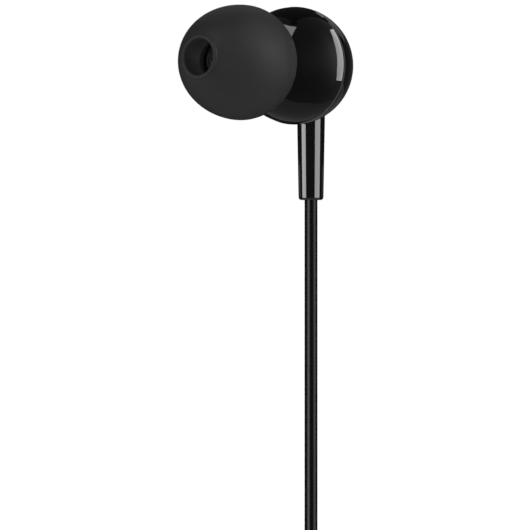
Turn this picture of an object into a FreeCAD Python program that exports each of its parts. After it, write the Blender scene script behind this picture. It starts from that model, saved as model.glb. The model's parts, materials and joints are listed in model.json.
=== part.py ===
"""Wired earphones: two earpieces, their leads, a splitter, a folded hank and a plug.

Millimetres, +Z up. The right earpiece hangs as it is worn, with its stem and lead straight down. The origin
is the point where the ear holds it: the middle of the ear tip's widest section. The left earpiece is its
mirror image and hangs upside down below the hank.
"""
import FreeCAD, Part
import math
import os

from FreeCAD import Placement, Rotation, Vector

# Housing: one sphere in two halves, facing forward along -Y, with its seam just ahead of the middle.
SHELL_R = 6.20
SHELL_WALL = 0.80
SEAM_AHEAD = 0.18
REAR_DEPTH = 0.50
SEAM_GAP = 0.10
SEAM_CHAMFER = 0.10
TONGUE_WALL = 0.35
TONGUE_LENGTH = 0.80
FIT = 0.05
DISC_R = 2.00
DISC_THICK = 0.45
DISC_PROUD = 0.10
DISC_ROUND = 0.08

# Sound nozzle, which leaves the front shell turned outward and up.
NOZZLE_YAW = 8.9
NOZZLE_PITCH = 0.8
NOZZLE_R = 2.05
NOZZLE_BORE_R = 1.55
NOZZLE_END = 12.30
SHOULDER_R = 3.00
SHOULDER_RISE = 0.25
BARB_RISE = 0.35
BARB_LENGTH = 1.60
BARB_LEAD = 0.50
MESH_THICK = 0.15
MESH_SEAT_WALL = 0.22
MESH_HOLE_R = 0.14
MESH_PITCH = 0.44
DAMPER_LENGTH = 1.60

# Ear tip, measured along the nozzle from its widest section.
SEAT_DISTANCE = 8.64
TIP_R = 6.07
TIP_DOME = 7.73
TIP_FRONT = 7.37
TIP_MOUTH_R = 1.96
TIP_LIP = 0.34
TIP_LIP_CREST = 0.14
TIP_SKIRT = 2.37
TIP_SKIRT_CURVE = 4.83
TIP_WALL = 0.55
TIP_CORE_WALL = 0.60
TIP_WEB = 5.20
TIP_BASE_GAP = 0.10
TIP_BORE_FIT = 0.05
TIP_THROAT = 0.90

# Stem, straight down behind the seam.
STEM_BACK = 3.69
STEM_TOP_R = 1.49
STEM_END_R = 1.33
STEM_END = 14.25
STEM_ROUND = 0.30
SPIGOT_R = 1.15
SPIGOT_RISE = 0.60
GROMMET_WALL = 0.28
GROMMET_LENGTH = 1.20
KNOT_R = 1.05

# Driver, on the housing axis.
DRIVER_GAP = 0.35
DRIVER_FRONT = 1.50
FRAME_WALL = 0.40
FRAME_DEPTH = 2.50
FLOOR_THICK = 0.40
LEDGE_WIDTH = 0.40
LEDGE_FRONT = 0.80
LEDGE_THICK = 0.30
FRAME_VENT_R = 0.40
FRAME_VENTS = 6
YOKE_ROOM = 1.75
YOKE_WALL = 0.40
YOKE_BASE = 0.50
YOKE_BACK = 1.70
YOKE_FRONT = 0.35
YOKE_VENT_R = 0.45
COIL_WALL = 0.21
COIL_GAP = 0.12
COIL_LENGTH = 0.90
MAGNET_INSET = 0.10
TOP_PLATE_THICK = 0.45
FILM = 0.08
DOME_RISE = 0.45
CONE_WIDTH = 0.80
ROLL_RISE = 0.30
GRILLE_THICK = 0.15
GRILLE_HOLE_R = 0.35
GRILLE_RING_R = 2.40
GRILLE_HOLES = 8
SEAL_WIDTH = 0.40
SEAL_THICK = 0.30
DAMPING_DISC_R = 1.20
DAMPING_DISC_THICK = 0.15
BOARD_WIDTH = 2.80
BOARD_HEIGHT = 1.30
BOARD_THICK = 0.35
PAD_SPACING = 1.60
SOLDER_R = 0.34
WIRE_R = 0.15

# Leads.
LEAD_D = 1.40
LEAD_BORE_FIT = 0.08
MAIN_D = 1.80
BEND_SHARE = 0.45

# How far a cutting body reaches past what it cuts.
OVER = 1.00

# Hank: every turn is two end circles joined by two hollow sides, and the next turn lies outside it.
HANK_TOP = 51.50
HANK_HALF = 13.50
FOLD_R_LEAD = 5.20
FOLD_R_MAIN = 5.40
PITCH_SLACK = 0.02
WAIST_SLACK = 0.05
RIGHT_LEVELS = 3.0
LEFT_LEVELS = 3.5
MAIN_LEVELS = 3
MAIN_COLUMNS = 3
TAIL_GAP = 0.10
EYE_ABOVE = 1.00
EYE_MIDDLE = 4.50
EYE_SIDE = 0.20
LIMB_DEPTH = 10.00
LIMB_SIDE = 0.75
MAIN_EYE_ABOVE = 1.50
MAIN_EYE_SIDE = 0.30
MAIN_LIMB_SIDE = 0.95
TIE_WIDTH = 3.00
TIE_THICK = 0.50
TIE_GAP = 0.12
TIE_CORNER = 0.75
TIE_TWIST_R = 0.70
TIE_TWIST_LENGTH = 7.00
TIE_TWIST_SIDE = 2.85
TIE_TWIST_LINE = (-0.55, -0.45, -0.75)

# Splitter, beside the hank's waist.
SPLITTER_OUT = 10.00
SPLITTER_LENGTH = 10.00
SPLITTER_WIDTH = 4.80
SPLITTER_THICK = 3.00
SPLITTER_ROUND = 0.90

# Left earpiece and plug, which hang below the hank.
LEFT_DROP = 5.00
LEFT_TURN = -90.0
PLUG_DROP = 4.00
RELIEF_LENGTH = 9.00
RELIEF_END_R = 1.45
RELIEF_BASE_R = 2.10
RELIEF_ROUND = 0.30
GRIP_R = 3.00
GRIP_LENGTH = 14.00
GRIP_ROUND = 0.80
GRIP_CHAMFER = 0.30
PLUG_R = 1.75
PLUG_SLEEVE_LENGTH = 6.10
PLUG_BAND = 0.60
PLUG_RING_LENGTH = 2.30
PLUG_TIP_LENGTH = 4.40
PLUG_TIP_SHANK = 2.42
PLUG_TIP_NECK_R = 1.20
PLUG_TIP_BULB_R = 1.72
PLUG_NOSE_R = 0.55
PLUG_CORE_R = 0.60
FLANGE_R = 2.30
FLANGE_THICK = 0.40

# Points interpolated along an oval outline, and how near its ends count as closed.
OVAL_STEPS = 12
CLOSED = 1e-7

# Directions and places worked out from the sizes.
UP = Vector(0, 0, 1)
FORWARD = Vector(0, -1, 0)
INNER_R = SHELL_R - SHELL_WALL
REAR_CUT = SHELL_R - REAR_DEPTH
yaw = math.radians(NOZZLE_YAW)
pitch = math.radians(NOZZLE_PITCH)
NOZZLE = Vector(-math.sin(yaw) * math.cos(pitch), -math.cos(yaw) * math.cos(pitch), math.sin(pitch))
SEAT = NOZZLE * SEAT_DISTANCE
DRIVER_R = INNER_R - DRIVER_GAP
YOKE_R = DRIVER_R - FRAME_WALL - YOKE_ROOM
FRAME_BACK = DRIVER_FRONT - FRAME_DEPTH
BORE_R = LEAD_D / 2 + LEAD_BORE_FIT
BARB_R = NOZZLE_R + BARB_RISE


class Profile:
    """A closed outline of radius and height, turned about the local Z axis into a solid."""

    def __init__(self, radius, height):
        self.first = Vector(radius, 0, height)
        self.last = self.first
        self.edges = []

    def line(self, radius, height):
        """Straight edge to a new point."""
        point = Vector(radius, 0, height)
        self.edges.append(Part.LineSegment(self.last, point).toShape())
        self.last = point
        return self

    def arc(self, mid, end):
        """Circular edge through mid to end, each a pair of radius and height."""
        middle = Vector(mid[0], 0, mid[1])
        point = Vector(end[0], 0, end[1])
        self.edges.append(Part.Arc(self.last, middle, point).toShape())
        self.last = point
        return self

    def round_about(self, centre_height, radius, end):
        """Edge along the sphere of this radius about the axis point at centre_height."""
        start_angle = math.atan2(self.last.z - centre_height, self.last.x)
        end_angle = math.atan2(end[1] - centre_height, end[0])
        half = (start_angle + end_angle) / 2
        mid = (radius * math.cos(half), centre_height + radius * math.sin(half))
        return self.arc(mid, end)

    def oval(self, half_width, half_height, end):
        """Edge along the ellipse about the origin with these half axes, through points in order of angle."""
        start_angle = math.asin(max(-1.0, min(1.0, self.last.z / half_height)))
        end_angle = math.asin(max(-1.0, min(1.0, end[1] / half_height)))
        steps = OVAL_STEPS
        points = []
        for step in range(steps + 1):
            angle = start_angle + (end_angle - start_angle) * step / steps
            points.append(Vector(half_width * math.cos(angle), 0, half_height * math.sin(angle)))
        points[0] = self.last
        points[-1] = Vector(end[0], 0, end[1])
        curve = Part.BSplineCurve()
        curve.interpolate(points)
        self.edges.append(curve.toShape())
        self.last = points[-1]
        return self

    def turned(self):
        """Close the outline and turn it through a whole circle."""
        if self.last.distanceToPoint(self.first) > CLOSED:
            self.edges.append(Part.LineSegment(self.last, self.first).toShape())
        face = Part.Face(Part.Wire(self.edges))
        return face.revolve(Vector(0, 0, 0), UP, 360)


def aimed(shape, direction, start=Vector(0, 0, 0)):
    """Put a shape made along local Z on the line from start in the given direction."""
    placed = shape.copy()
    placed.Placement = Placement(start, Rotation(UP, direction))
    return placed


def rod(radius, low, high):
    """Cylinder on the local Z axis between two heights."""
    return Part.makeCylinder(radius, high - low, Vector(0, 0, low))


def ring(inner, outer, low, high):
    """Flat ring or tube on the local Z axis between two heights."""
    return rod(outer, low, high).cut(rod(inner, low - OVER, high + OVER))


def holed(plate, radius, centres, low, high):
    """Drill round holes along local Z at the given centres."""
    drills = [Part.makeCylinder(radius, high - low, Vector(x, y, low)) for x, y in centres]
    return plate.cut(Part.makeCompound(drills))


def circle_of(count, radius, start=0.0):
    """Evenly spaced centres on a circle."""
    turns = [start + 2 * math.pi * index / count for index in range(count)]
    return [(radius * math.cos(turn), radius * math.sin(turn)) for turn in turns]


def bent_path(name, points):
    """Wire of straight runs joined by tangent arcs, each as large as its two runs allow."""
    radii = []
    edges = []
    start = points[0]
    for before, corner, after in zip(points, points[1:], points[2:]):
        into = (corner - before).normalize()
        out = (after - corner).normalize()
        half_turn = into.getAngle(out) / 2
        reach = BEND_SHARE * min(corner.distanceToPoint(before), corner.distanceToPoint(after))
        radii.append(reach / math.tan(half_turn))
        begin = corner - into * reach
        end = corner + out * reach
        inward = (out - into).normalize()
        middle = corner + inward * (math.hypot(radii[-1], reach) - radii[-1])
        edges.append(Part.LineSegment(start, begin).toShape())
        edges.append(Part.Arc(begin, middle, end).toShape())
        start = end
    edges.append(Part.LineSegment(start, points[-1]).toShape())
    if radii:
        print(name, "radii", " ".join(f"{radius:.1f}" for radius in radii))
    return Part.Wire(edges)


def tube(name, points, diameter):
    """Round tube along a bent path, with its volume compared with its section times its length."""
    path = bent_path(name, points)
    first = (points[1] - points[0]).normalize()
    section = Part.Wire(Part.makeCircle(diameter / 2, points[0], first))
    solid = path.makePipeShell([section], True, True)
    expected = path.Length * math.pi * diameter ** 2 / 4
    print(name, f"length {path.Length:.1f} volume {solid.Volume:.2f} expected {expected:.2f}")
    return solid


def front_shell():
    """Front half of the housing with the driver's shelf, the nozzle, its shoulder and its barb."""
    gap = SEAM_GAP / 2
    outer = Part.makeSphere(SHELL_R)
    inner = Part.makeSphere(INNER_R)
    shelf_front = DRIVER_FRONT + GRILLE_THICK + SEAL_THICK + FIT
    shelf = ring(DRIVER_R - SEAL_WIDTH, INNER_R + SHELL_WALL / 2, shelf_front, shelf_front + SHELL_WALL / 2)
    dome = outer.cut(inner).fuse(shelf)
    dome = dome.common(rod(SHELL_R + OVER, SEAM_AHEAD + gap, SHELL_R + OVER))
    recess_end = SEAM_AHEAD + TONGUE_LENGTH + FIT
    dome = dome.cut(ring(INNER_R - OVER, INNER_R + TONGUE_WALL + FIT, SEAM_AHEAD - OVER, recess_end))
    dome = aimed(dome, FORWARD)
    barb_start = NOZZLE_END - BARB_LENGTH
    shoulder = SHELL_R + SHOULDER_RISE
    nozzle = Profile(0, INNER_R - SHELL_WALL / 2)
    nozzle.line(SHOULDER_R, INNER_R - SHELL_WALL / 2)
    nozzle.line(SHOULDER_R, shoulder)
    nozzle.line(NOZZLE_R, shoulder)
    nozzle.line(NOZZLE_R, barb_start)
    nozzle.line(BARB_R, barb_start)
    nozzle.line(BARB_R, NOZZLE_END - BARB_LEAD)
    nozzle.line(NOZZLE_R, NOZZLE_END)
    nozzle.line(0, NOZZLE_END)
    body = dome.fuse(aimed(nozzle.turned(), NOZZLE).cut(inner))
    bore = rod(NOZZLE_BORE_R, 0, NOZZLE_END + OVER)
    seat = rod(NOZZLE_R - MESH_SEAT_WALL, NOZZLE_END - 2 * MESH_THICK, NOZZLE_END + OVER)
    return body.cut(aimed(bore.fuse(seat), NOZZLE))


def nozzle_mesh():
    """Round mesh with rows of small holes, seated in the nozzle's mouth."""
    radius = NOZZLE_R - MESH_SEAT_WALL - FIT
    low = NOZZLE_END - 2 * MESH_THICK
    rows = int(radius / MESH_PITCH)
    centres = []
    for row in range(-rows, rows + 1):
        for column in range(-rows, rows + 1):
            centre = (column * MESH_PITCH, row * MESH_PITCH)
            if math.hypot(*centre) < radius - 2 * MESH_HOLE_R:
                centres.append(centre)
    plate = rod(radius, low, low + MESH_THICK)
    return aimed(holed(plate, MESH_HOLE_R, centres, low - OVER, low + OVER), NOZZLE)


def nozzle_damper():
    """Foam plug in the nozzle behind the mesh."""
    high = NOZZLE_END - 3 * MESH_THICK
    return aimed(rod(NOZZLE_BORE_R - FIT, high - DAMPER_LENGTH, high), NOZZLE)


def stem_hole(radius):
    """Upright hole on the stem's axis, from the housing's middle downward."""
    return Part.makeCylinder(radius, STEM_END, Vector(0, STEM_BACK, -STEM_END))


def rear_outside(extra=0.0):
    """Outer form of the rear half, as a solid that starts at the seam."""
    radius = SHELL_R + extra
    start = SEAM_AHEAD - SEAM_GAP / 2
    flat_r = math.sqrt(radius ** 2 - (REAR_CUT + extra) ** 2)
    outline = Profile(0, start)
    outline.line(math.sqrt(radius ** 2 - start ** 2) - SEAM_CHAMFER, start)
    outline.line(math.sqrt(radius ** 2 - (start - SEAM_CHAMFER) ** 2), start - SEAM_CHAMFER)
    outline.round_about(0, radius, (flat_r, -REAR_CUT - extra))
    outline.line(0, -REAR_CUT - extra)
    return outline.turned()


def rear_shell():
    """Rear half of the housing: dome, flat with the disc's recess, tongue, and the hole for the stem."""
    inner_cut = REAR_CUT - SHELL_WALL
    flat_r = math.sqrt(INNER_R ** 2 - inner_cut ** 2)
    hollow = Profile(0, OVER)
    hollow.line(INNER_R, OVER)
    hollow.line(INNER_R, 0)
    hollow.round_about(0, INNER_R, (flat_r, -inner_cut))
    hollow.line(0, -inner_cut)
    tongue = ring(INNER_R, INNER_R + TONGUE_WALL, SEAM_AHEAD - SEAM_GAP / 2, SEAM_AHEAD + TONGUE_LENGTH)
    disc_seat = REAR_CUT - DISC_THICK + DISC_PROUD
    recess = rod(DISC_R + FIT, -REAR_CUT - OVER, -disc_seat)
    shell = rear_outside().fuse(tongue).cut(hollow.turned()).cut(recess)
    return aimed(shell, FORWARD).cut(stem_hole(SPIGOT_R + FIT))


def rear_disc():
    """Blank inlay disc on the flat of the rear shell."""
    face = REAR_CUT + DISC_PROUD
    outline = Profile(0, -face + DISC_THICK)
    outline.line(DISC_R, -face + DISC_THICK)
    outline.line(DISC_R, -face + DISC_ROUND)
    outline.line(DISC_R - DISC_ROUND, -face)
    outline.line(0, -face)
    return aimed(outline.turned(), FORWARD)


def stem_sleeve():
    """Tapered stem whose top follows the rear shell, with a spigot through the shell's wall."""
    top = SHELL_WALL - INNER_R
    spigot_top = -math.sqrt(INNER_R ** 2 - STEM_BACK ** 2) + SPIGOT_RISE
    lean = (STEM_TOP_R - STEM_END_R) / (STEM_END + top)
    outline = Profile(0, -STEM_END)
    outline.line(STEM_END_R - STEM_ROUND, -STEM_END)
    slope = STEM_ROUND * (1 - math.sqrt(0.5))
    rounded = (STEM_END_R + lean * STEM_ROUND, -STEM_END + STEM_ROUND)
    outline.arc((STEM_END_R - slope, -STEM_END + slope), rounded)
    outline.line(STEM_TOP_R, top)
    outline.line(0, top)
    axis = Vector(0, STEM_BACK, 0)
    body = aimed(outline.turned(), UP, axis).cut(aimed(rear_outside(FIT), FORWARD))
    body = body.cut(Part.makeSphere(SHELL_R + FIT))
    body = body.fuse(aimed(rod(SPIGOT_R, -SHELL_R - SPIGOT_RISE, spigot_top), UP, axis))
    mouth_r = BORE_R + GROMMET_WALL
    body = body.cut(stem_hole(BORE_R))
    return body.cut(Part.makeCylinder(mouth_r, GROMMET_LENGTH, Vector(0, STEM_BACK, -STEM_END)))


def cable_grommet():
    """Small soft bush between the stem's mouth and the lead."""
    bush = ring(LEAD_D / 2 + FIT / 2, BORE_R + GROMMET_WALL - FIT, -STEM_END + FIT, -STEM_END + GROMMET_LENGTH)
    return aimed(bush, UP, Vector(0, STEM_BACK, 0))


def knot_height():
    """Height of the knot's middle, so that it sits on the spigot."""
    spigot_top = -math.sqrt(INNER_R ** 2 - STEM_BACK ** 2) + SPIGOT_RISE
    return spigot_top + KNOT_R


def cable_knot():
    """The lead's end inside the stem and the knot that holds it there."""
    middle = knot_height()
    tail = rod(LEAD_D / 2, -STEM_END, middle)
    knot = Part.makeSphere(KNOT_R, Vector(0, 0, middle))
    seat = rod(2 * KNOT_R, middle - 2 * KNOT_R, middle - KNOT_R + FIT)
    return aimed(tail.fuse(knot.cut(seat)), UP, Vector(0, STEM_BACK, 0))


def driver_frame():
    """Basket: outer ring, ledge for the diaphragm's edge and a vented floor around the yoke."""
    wall = ring(DRIVER_R - FRAME_WALL, DRIVER_R, FRAME_BACK, DRIVER_FRONT)
    seat = LEDGE_FRONT - FILM
    ledge = ring(DRIVER_R - FRAME_WALL - LEDGE_WIDTH, DRIVER_R, seat - LEDGE_THICK, seat)
    floor = ring(YOKE_R + FIT, DRIVER_R, FRAME_BACK, FRAME_BACK + FLOOR_THICK)
    middle = (YOKE_R + DRIVER_R - FRAME_WALL) / 2
    vents = circle_of(FRAME_VENTS, middle, math.pi / FRAME_VENTS)
    floor = holed(floor, FRAME_VENT_R, vents, FRAME_BACK - OVER, FRAME_BACK + FLOOR_THICK + OVER)
    return aimed(wall.fuse(ledge).fuse(floor), FORWARD)


def coil_radii():
    """Inner and outer radius of the voice coil, centred in the gap outside the top plate."""
    outer = YOKE_R - YOKE_WALL - COIL_GAP
    return outer - COIL_WALL, outer


def yoke():
    """Steel cup with a vent through its base."""
    cup = rod(YOKE_R, -YOKE_BACK, YOKE_FRONT)
    cup = cup.cut(rod(YOKE_R - YOKE_WALL, -YOKE_BACK + YOKE_BASE, YOKE_FRONT + OVER))
    return aimed(cup.cut(rod(YOKE_VENT_R, -YOKE_BACK - OVER, YOKE_FRONT)), FORWARD)


def top_plate():
    """Pole piece on the magnet."""
    radius = coil_radii()[0] - COIL_GAP
    return aimed(rod(radius, YOKE_FRONT - TOP_PLATE_THICK, YOKE_FRONT), FORWARD)


def magnet():
    """Disc magnet between the yoke's base and the pole piece."""
    radius = coil_radii()[0] - COIL_GAP - MAGNET_INSET
    return aimed(rod(radius, -YOKE_BACK + YOKE_BASE, YOKE_FRONT - TOP_PLATE_THICK), FORWARD)


def voice_coil():
    """Thin coil that hangs from the dome into the yoke's gap."""
    inner, outer = coil_radii()
    high = LEDGE_FRONT - FILM
    return aimed(ring(inner, outer, high - COIL_LENGTH, high), FORWARD)


def diaphragm():
    """Dome over the coil with a short flat cone round it, all of one film."""
    outer = coil_radii()[1]
    low = LEDGE_FRONT - FILM
    curve = (outer ** 2 + DOME_RISE ** 2) / (2 * DOME_RISE)
    centre = low + DOME_RISE - curve
    outline = Profile(0, low + DOME_RISE)
    half = math.asin(outer / curve) / 2
    outline.arc((curve * math.sin(half), centre + curve * math.cos(half)), (outer, low))
    outline.line(outer + CONE_WIDTH, low)
    outline.line(outer + CONE_WIDTH, low + FILM)
    outline.line(outer, low + FILM)
    outline.arc((curve * math.sin(half), centre + FILM + curve * math.cos(half)), (0, low + DOME_RISE + FILM))
    return aimed(outline.turned(), FORWARD)


def surround():
    """Rolled edge between the cone and the frame's ledge."""
    inner = coil_radii()[1] + CONE_WIDTH + FIT
    outer = DRIVER_R - FRAME_WALL - FIT
    roll_out = outer - LEDGE_WIDTH + FIT
    low = LEDGE_FRONT - FILM
    middle = (inner + roll_out) / 2
    outline = Profile(inner, low)
    outline.arc((middle, low + ROLL_RISE), (roll_out, low))
    outline.line(outer, low)
    outline.line(outer, low + FILM)
    outline.line(roll_out, low + FILM)
    outline.arc((middle, low + ROLL_RISE + FILM), (inner, low + FILM))
    return aimed(outline.turned(), FORWARD)


def driver_grille():
    """Perforated cover on the front of the frame."""
    plate = rod(DRIVER_R - FIT, DRIVER_FRONT, DRIVER_FRONT + GRILLE_THICK)
    centres = [(0, 0)] + circle_of(GRILLE_HOLES, GRILLE_RING_R)
    centres += circle_of(GRILLE_HOLES // 2, GRILLE_RING_R / 2)
    return aimed(holed(plate, GRILLE_HOLE_R, centres, 0, DRIVER_FRONT + OVER), FORWARD)


def seal_ring():
    """Foam ring between the driver's cover and the front shell's shelf."""
    low = DRIVER_FRONT + GRILLE_THICK
    outer = math.sqrt(INNER_R ** 2 - (low + SEAL_THICK) ** 2) - FIT
    return aimed(ring(DRIVER_R - SEAL_WIDTH, outer, low, low + SEAL_THICK), FORWARD)


def damping_disc():
    """Paper disc over the yoke's vent."""
    return aimed(rod(DAMPING_DISC_R, -YOKE_BACK - DAMPING_DISC_THICK, -YOKE_BACK), FORWARD)


def board_place():
    """Middle of the terminal board's front face, above the yoke behind the frame's floor."""
    height = (YOKE_R + DRIVER_R) / 2
    return Vector(0, -FRAME_BACK, height)


def terminal_board():
    """Small board behind the frame's floor."""
    place = board_place()
    corner = Vector(-BOARD_WIDTH / 2, place.y, place.z - BOARD_HEIGHT / 2)
    return Part.makeBox(BOARD_WIDTH, BOARD_THICK, BOARD_HEIGHT, corner)


def pad_places():
    """Middles of the two solder pads on the board's rear face."""
    place = board_place()
    back = place.y + BOARD_THICK
    return [Vector(side * PAD_SPACING / 2, back, place.z) for side in (-1, 1)]


def solder_joints():
    """A half ball of solder on each pad."""
    corner = board_place() + Vector(-BOARD_WIDTH / 2, BOARD_THICK, -BOARD_HEIGHT / 2)
    behind = Part.makeBox(BOARD_WIDTH, 2 * SOLDER_R, BOARD_HEIGHT, corner)
    return Part.makeCompound([Part.makeSphere(SOLDER_R, pad).common(behind) for pad in pad_places()])


def inner_wires():
    """Two enamelled wires from the knot up to the solder joints."""
    blobs = solder_joints()
    knot = cable_knot()
    wires = []
    for pad in pad_places():
        side = math.copysign(1, pad.x)
        start = Vector(side * KNOT_R / 3, STEM_BACK, knot_height() + KNOT_R / 2)
        low = Vector(pad.x / 2, STEM_BACK + WIRE_R, start.z + KNOT_R)
        high = Vector(pad.x, STEM_BACK - WIRE_R, pad.z - KNOT_R)
        turn = Vector(pad.x, pad.y + 4 * SOLDER_R, pad.z)
        wire = tube("inner_wire", [start, low, high, turn, pad], 2 * WIRE_R)
        wires.append(wire.cut(blobs).cut(knot))
    return Part.makeCompound(wires)


def ear_tip():
    """Silicone tip: dome and skirt outside, core tube over the nozzle inside, open behind."""
    bore_r = BARB_R + TIP_BORE_FIT
    core_r = bore_r + TIP_CORE_WALL
    base = SHELL_R + SHOULDER_RISE + TIP_BASE_GAP - SEAT_DISTANCE
    nozzle_end = NOZZLE_END - SEAT_DISTANCE
    throat = nozzle_end + TIP_LIP
    lip_r = TIP_MOUTH_R + TIP_LIP
    lip_height = TIP_DOME * math.sqrt(1 - (lip_r / TIP_R) ** 2)
    rim_r = TIP_R * math.sqrt(1 - (TIP_SKIRT / TIP_SKIRT_CURVE) ** 2)
    inner_r = TIP_R - TIP_WALL
    inner_rim_r = rim_r - TIP_WALL
    inner_dome = TIP_WEB / math.sqrt(1 - (core_r / inner_r) ** 2)
    outline = Profile(TIP_MOUTH_R, lip_height - TIP_LIP / 2)
    outline.arc((TIP_MOUTH_R + TIP_LIP_CREST, TIP_FRONT), (lip_r, lip_height))
    outline.oval(TIP_R, TIP_DOME, (TIP_R, 0))
    outline.oval(TIP_R, TIP_SKIRT_CURVE, (rim_r, -TIP_SKIRT))
    outline.arc(((rim_r + inner_rim_r) / 2, -TIP_SKIRT - TIP_WALL / 2), (inner_rim_r, -TIP_SKIRT))
    outline.line(inner_r, 0)
    outline.oval(inner_r, inner_dome, (core_r, TIP_WEB))
    outline.line(core_r, base)
    outline.line(bore_r, base)
    outline.line(bore_r, throat)
    outline.line(TIP_MOUTH_R, throat + TIP_THROAT)
    return aimed(outline.turned(), NOZZLE, SEAT)


EARPIECE = {
    "ear_tip": ear_tip,
    "front_shell": front_shell,
    "rear_shell": rear_shell,
    "rear_disc": rear_disc,
    "stem_sleeve": stem_sleeve,
    "cable_grommet": cable_grommet,
    "cable_knot": cable_knot,
    "nozzle_mesh": nozzle_mesh,
    "nozzle_damper": nozzle_damper,
    "seal_ring": seal_ring,
    "driver_grille": driver_grille,
    "driver_frame": driver_frame,
    "surround": surround,
    "diaphragm": diaphragm,
    "voice_coil": voice_coil,
    "top_plate": top_plate,
    "magnet": magnet,
    "yoke": yoke,
    "damping_disc": damping_disc,
    "terminal_board": terminal_board,
    "solder_joints": solder_joints,
    "inner_wires": inner_wires,
}

# Hank: places measured from its waist, with +X to the right and columns of turns side by side along Y.
LEAD_PITCH = LEAD_D + PITCH_SLACK
MAIN_PITCH = MAIN_D + PITCH_SLACK
LEFT_OUTER_R = FOLD_R_LEAD + LEFT_LEVELS * LEAD_PITCH + LEAD_D / 2
WAIST_HEIGHT = -HANK_TOP - HANK_HALF - LEFT_OUTER_R
HANK_BACK = STEM_BACK - LEAD_D / 2 - TAIL_GAP
RIGHT_COLUMN = HANK_BACK - LEAD_PITCH / 2
LEFT_COLUMN = RIGHT_COLUMN - LEAD_PITCH
MAIN_BACK = LEFT_COLUMN - LEAD_PITCH / 2
MAIN_FRONT = MAIN_BACK - MAIN_COLUMNS * MAIN_PITCH
PLUG_LINE = MAIN_FRONT - TAIL_GAP - MAIN_D / 2
HANK_LOW = HANK_HALF + LEFT_OUTER_R


def hank_outline(fold_r, diameter, outward):
    """Closed wire of one turn, moved outward from the innermost: two end arcs and two hollow sides."""
    waist = diameter / 2 + WAIST_SLACK
    side_r = (waist ** 2 + HANK_HALF ** 2 - fold_r ** 2) / (2 * (fold_r - waist))
    side_x = waist + side_r
    end_r = fold_r + outward
    reach = math.hypot(side_x, HANK_HALF)
    touch_x = end_r * side_x / reach
    touch_z = HANK_HALF - end_r * HANK_HALF / reach
    waist_x = waist + outward
    top = HANK_HALF + end_r
    corners = {}
    for name, sign_x, sign_z in (("tr", 1, 1), ("br", 1, -1), ("bl", -1, -1), ("tl", -1, 1)):
        corners[name] = Vector(sign_x * touch_x, 0, sign_z * touch_z)
    arcs = [
        Part.Arc(corners["tl"], Vector(0, 0, top), corners["tr"]),
        Part.Arc(corners["tr"], Vector(waist_x, 0, 0), corners["br"]),
        Part.Arc(corners["br"], Vector(0, 0, -top), corners["bl"]),
        Part.Arc(corners["bl"], Vector(-waist_x, 0, 0), corners["tl"]),
    ]
    return Part.Wire([arc.toShape() for arc in arcs])


def hank_slab(fold_r, diameter, levels_out, front, back):
    """Closed solid of the turns of one cord: the outline's band between its inner and outer turn, made deep."""
    outer = Part.Face(hank_outline(fold_r, diameter, levels_out + diameter / 2))
    inner = Part.Face(hank_outline(fold_r, diameter, -diameter / 2))
    slab = outer.cut(inner).extrude(Vector(0, back - front, 0))
    slab.translate(Vector(0, front, WAIST_HEIGHT))
    return slab


def from_waist(x, y, z):
    """Point given by its x, its y in the earpiece's frame and its height above the hank's waist."""
    return Vector(x, y, WAIST_HEIGHT + z)


def lead_tail(sign, column):
    """Points of a lead between the hank's eye and the straight stretch; sign is up for the right lead."""
    return [
        from_waist(0, STEM_BACK, sign * (HANK_HALF + EYE_ABOVE)),
        from_waist(sign * EYE_SIDE, (STEM_BACK + column) / 2, sign * (HANK_HALF - EYE_MIDDLE)),
        from_waist(sign * LIMB_SIDE, column, sign * (HANK_HALF - LIMB_DEPTH)),
    ]


def splitter_link(name, start_y, end_y, end_x, sign, diameter, slab):
    """Straight piece of a lead between the splitter's end and the widest part of its turns."""
    start = from_waist(SPLITTER_OUT, start_y, sign * SPLITTER_LENGTH / 2)
    end = from_waist(end_x, end_y, sign * HANK_HALF)
    link = tube(name, [start, end], diameter)
    side = 2 * SPLITTER_OUT
    beyond = Part.makeBox(side, side, SPLITTER_LENGTH, from_waist(0, -SPLITTER_OUT, -SPLITTER_LENGTH / 2))
    return link.cut(slab).cut(beyond)


def splitter():
    """Moulded Y piece: a flat block with rounded edges."""
    size = Vector(SPLITTER_THICK, SPLITTER_WIDTH, SPLITTER_LENGTH)
    corner = from_waist(SPLITTER_OUT, LEFT_COLUMN, 0) - size / 2
    block = Part.makeBox(size.x, size.y, size.z, corner)
    return block.makeFillet(SPLITTER_ROUND, block.Edges)


def wire_tie(outer_x):
    """Flat band round the hank's waist, with its two ends twisted together in front."""
    low_x = -outer_x - TIE_GAP
    front = MAIN_FRONT - TIE_GAP
    back = HANK_BACK + TIE_GAP
    bottom = -TIE_WIDTH / 2
    hole = Part.makeBox(-2 * low_x, back - front, TIE_WIDTH + 2 * OVER, from_waist(low_x, front, bottom - OVER))
    out = TIE_THICK
    size = (-2 * low_x + 2 * out, back - front + 2 * out, TIE_WIDTH)
    band = Part.makeBox(*size, from_waist(low_x - out, front - out, bottom))
    upright = [edge for edge in band.Edges if abs(edge.tangentAt(edge.FirstParameter).z) > 0.5]
    band = band.makeFillet(TIE_CORNER, upright).cut(hole)
    start = from_waist(-TIE_TWIST_SIDE, front - out / 2, 0)
    twist = Part.makeCylinder(TIE_TWIST_R, TIE_TWIST_LENGTH, start, Vector(*TIE_TWIST_LINE))
    side = 2 * TIE_TWIST_LENGTH
    clear = Part.makeBox(side, side, side, from_waist(-side / 2 - TIE_TWIST_SIDE, front, -side / 2))
    return band.fuse(twist.cut(clear))


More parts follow.
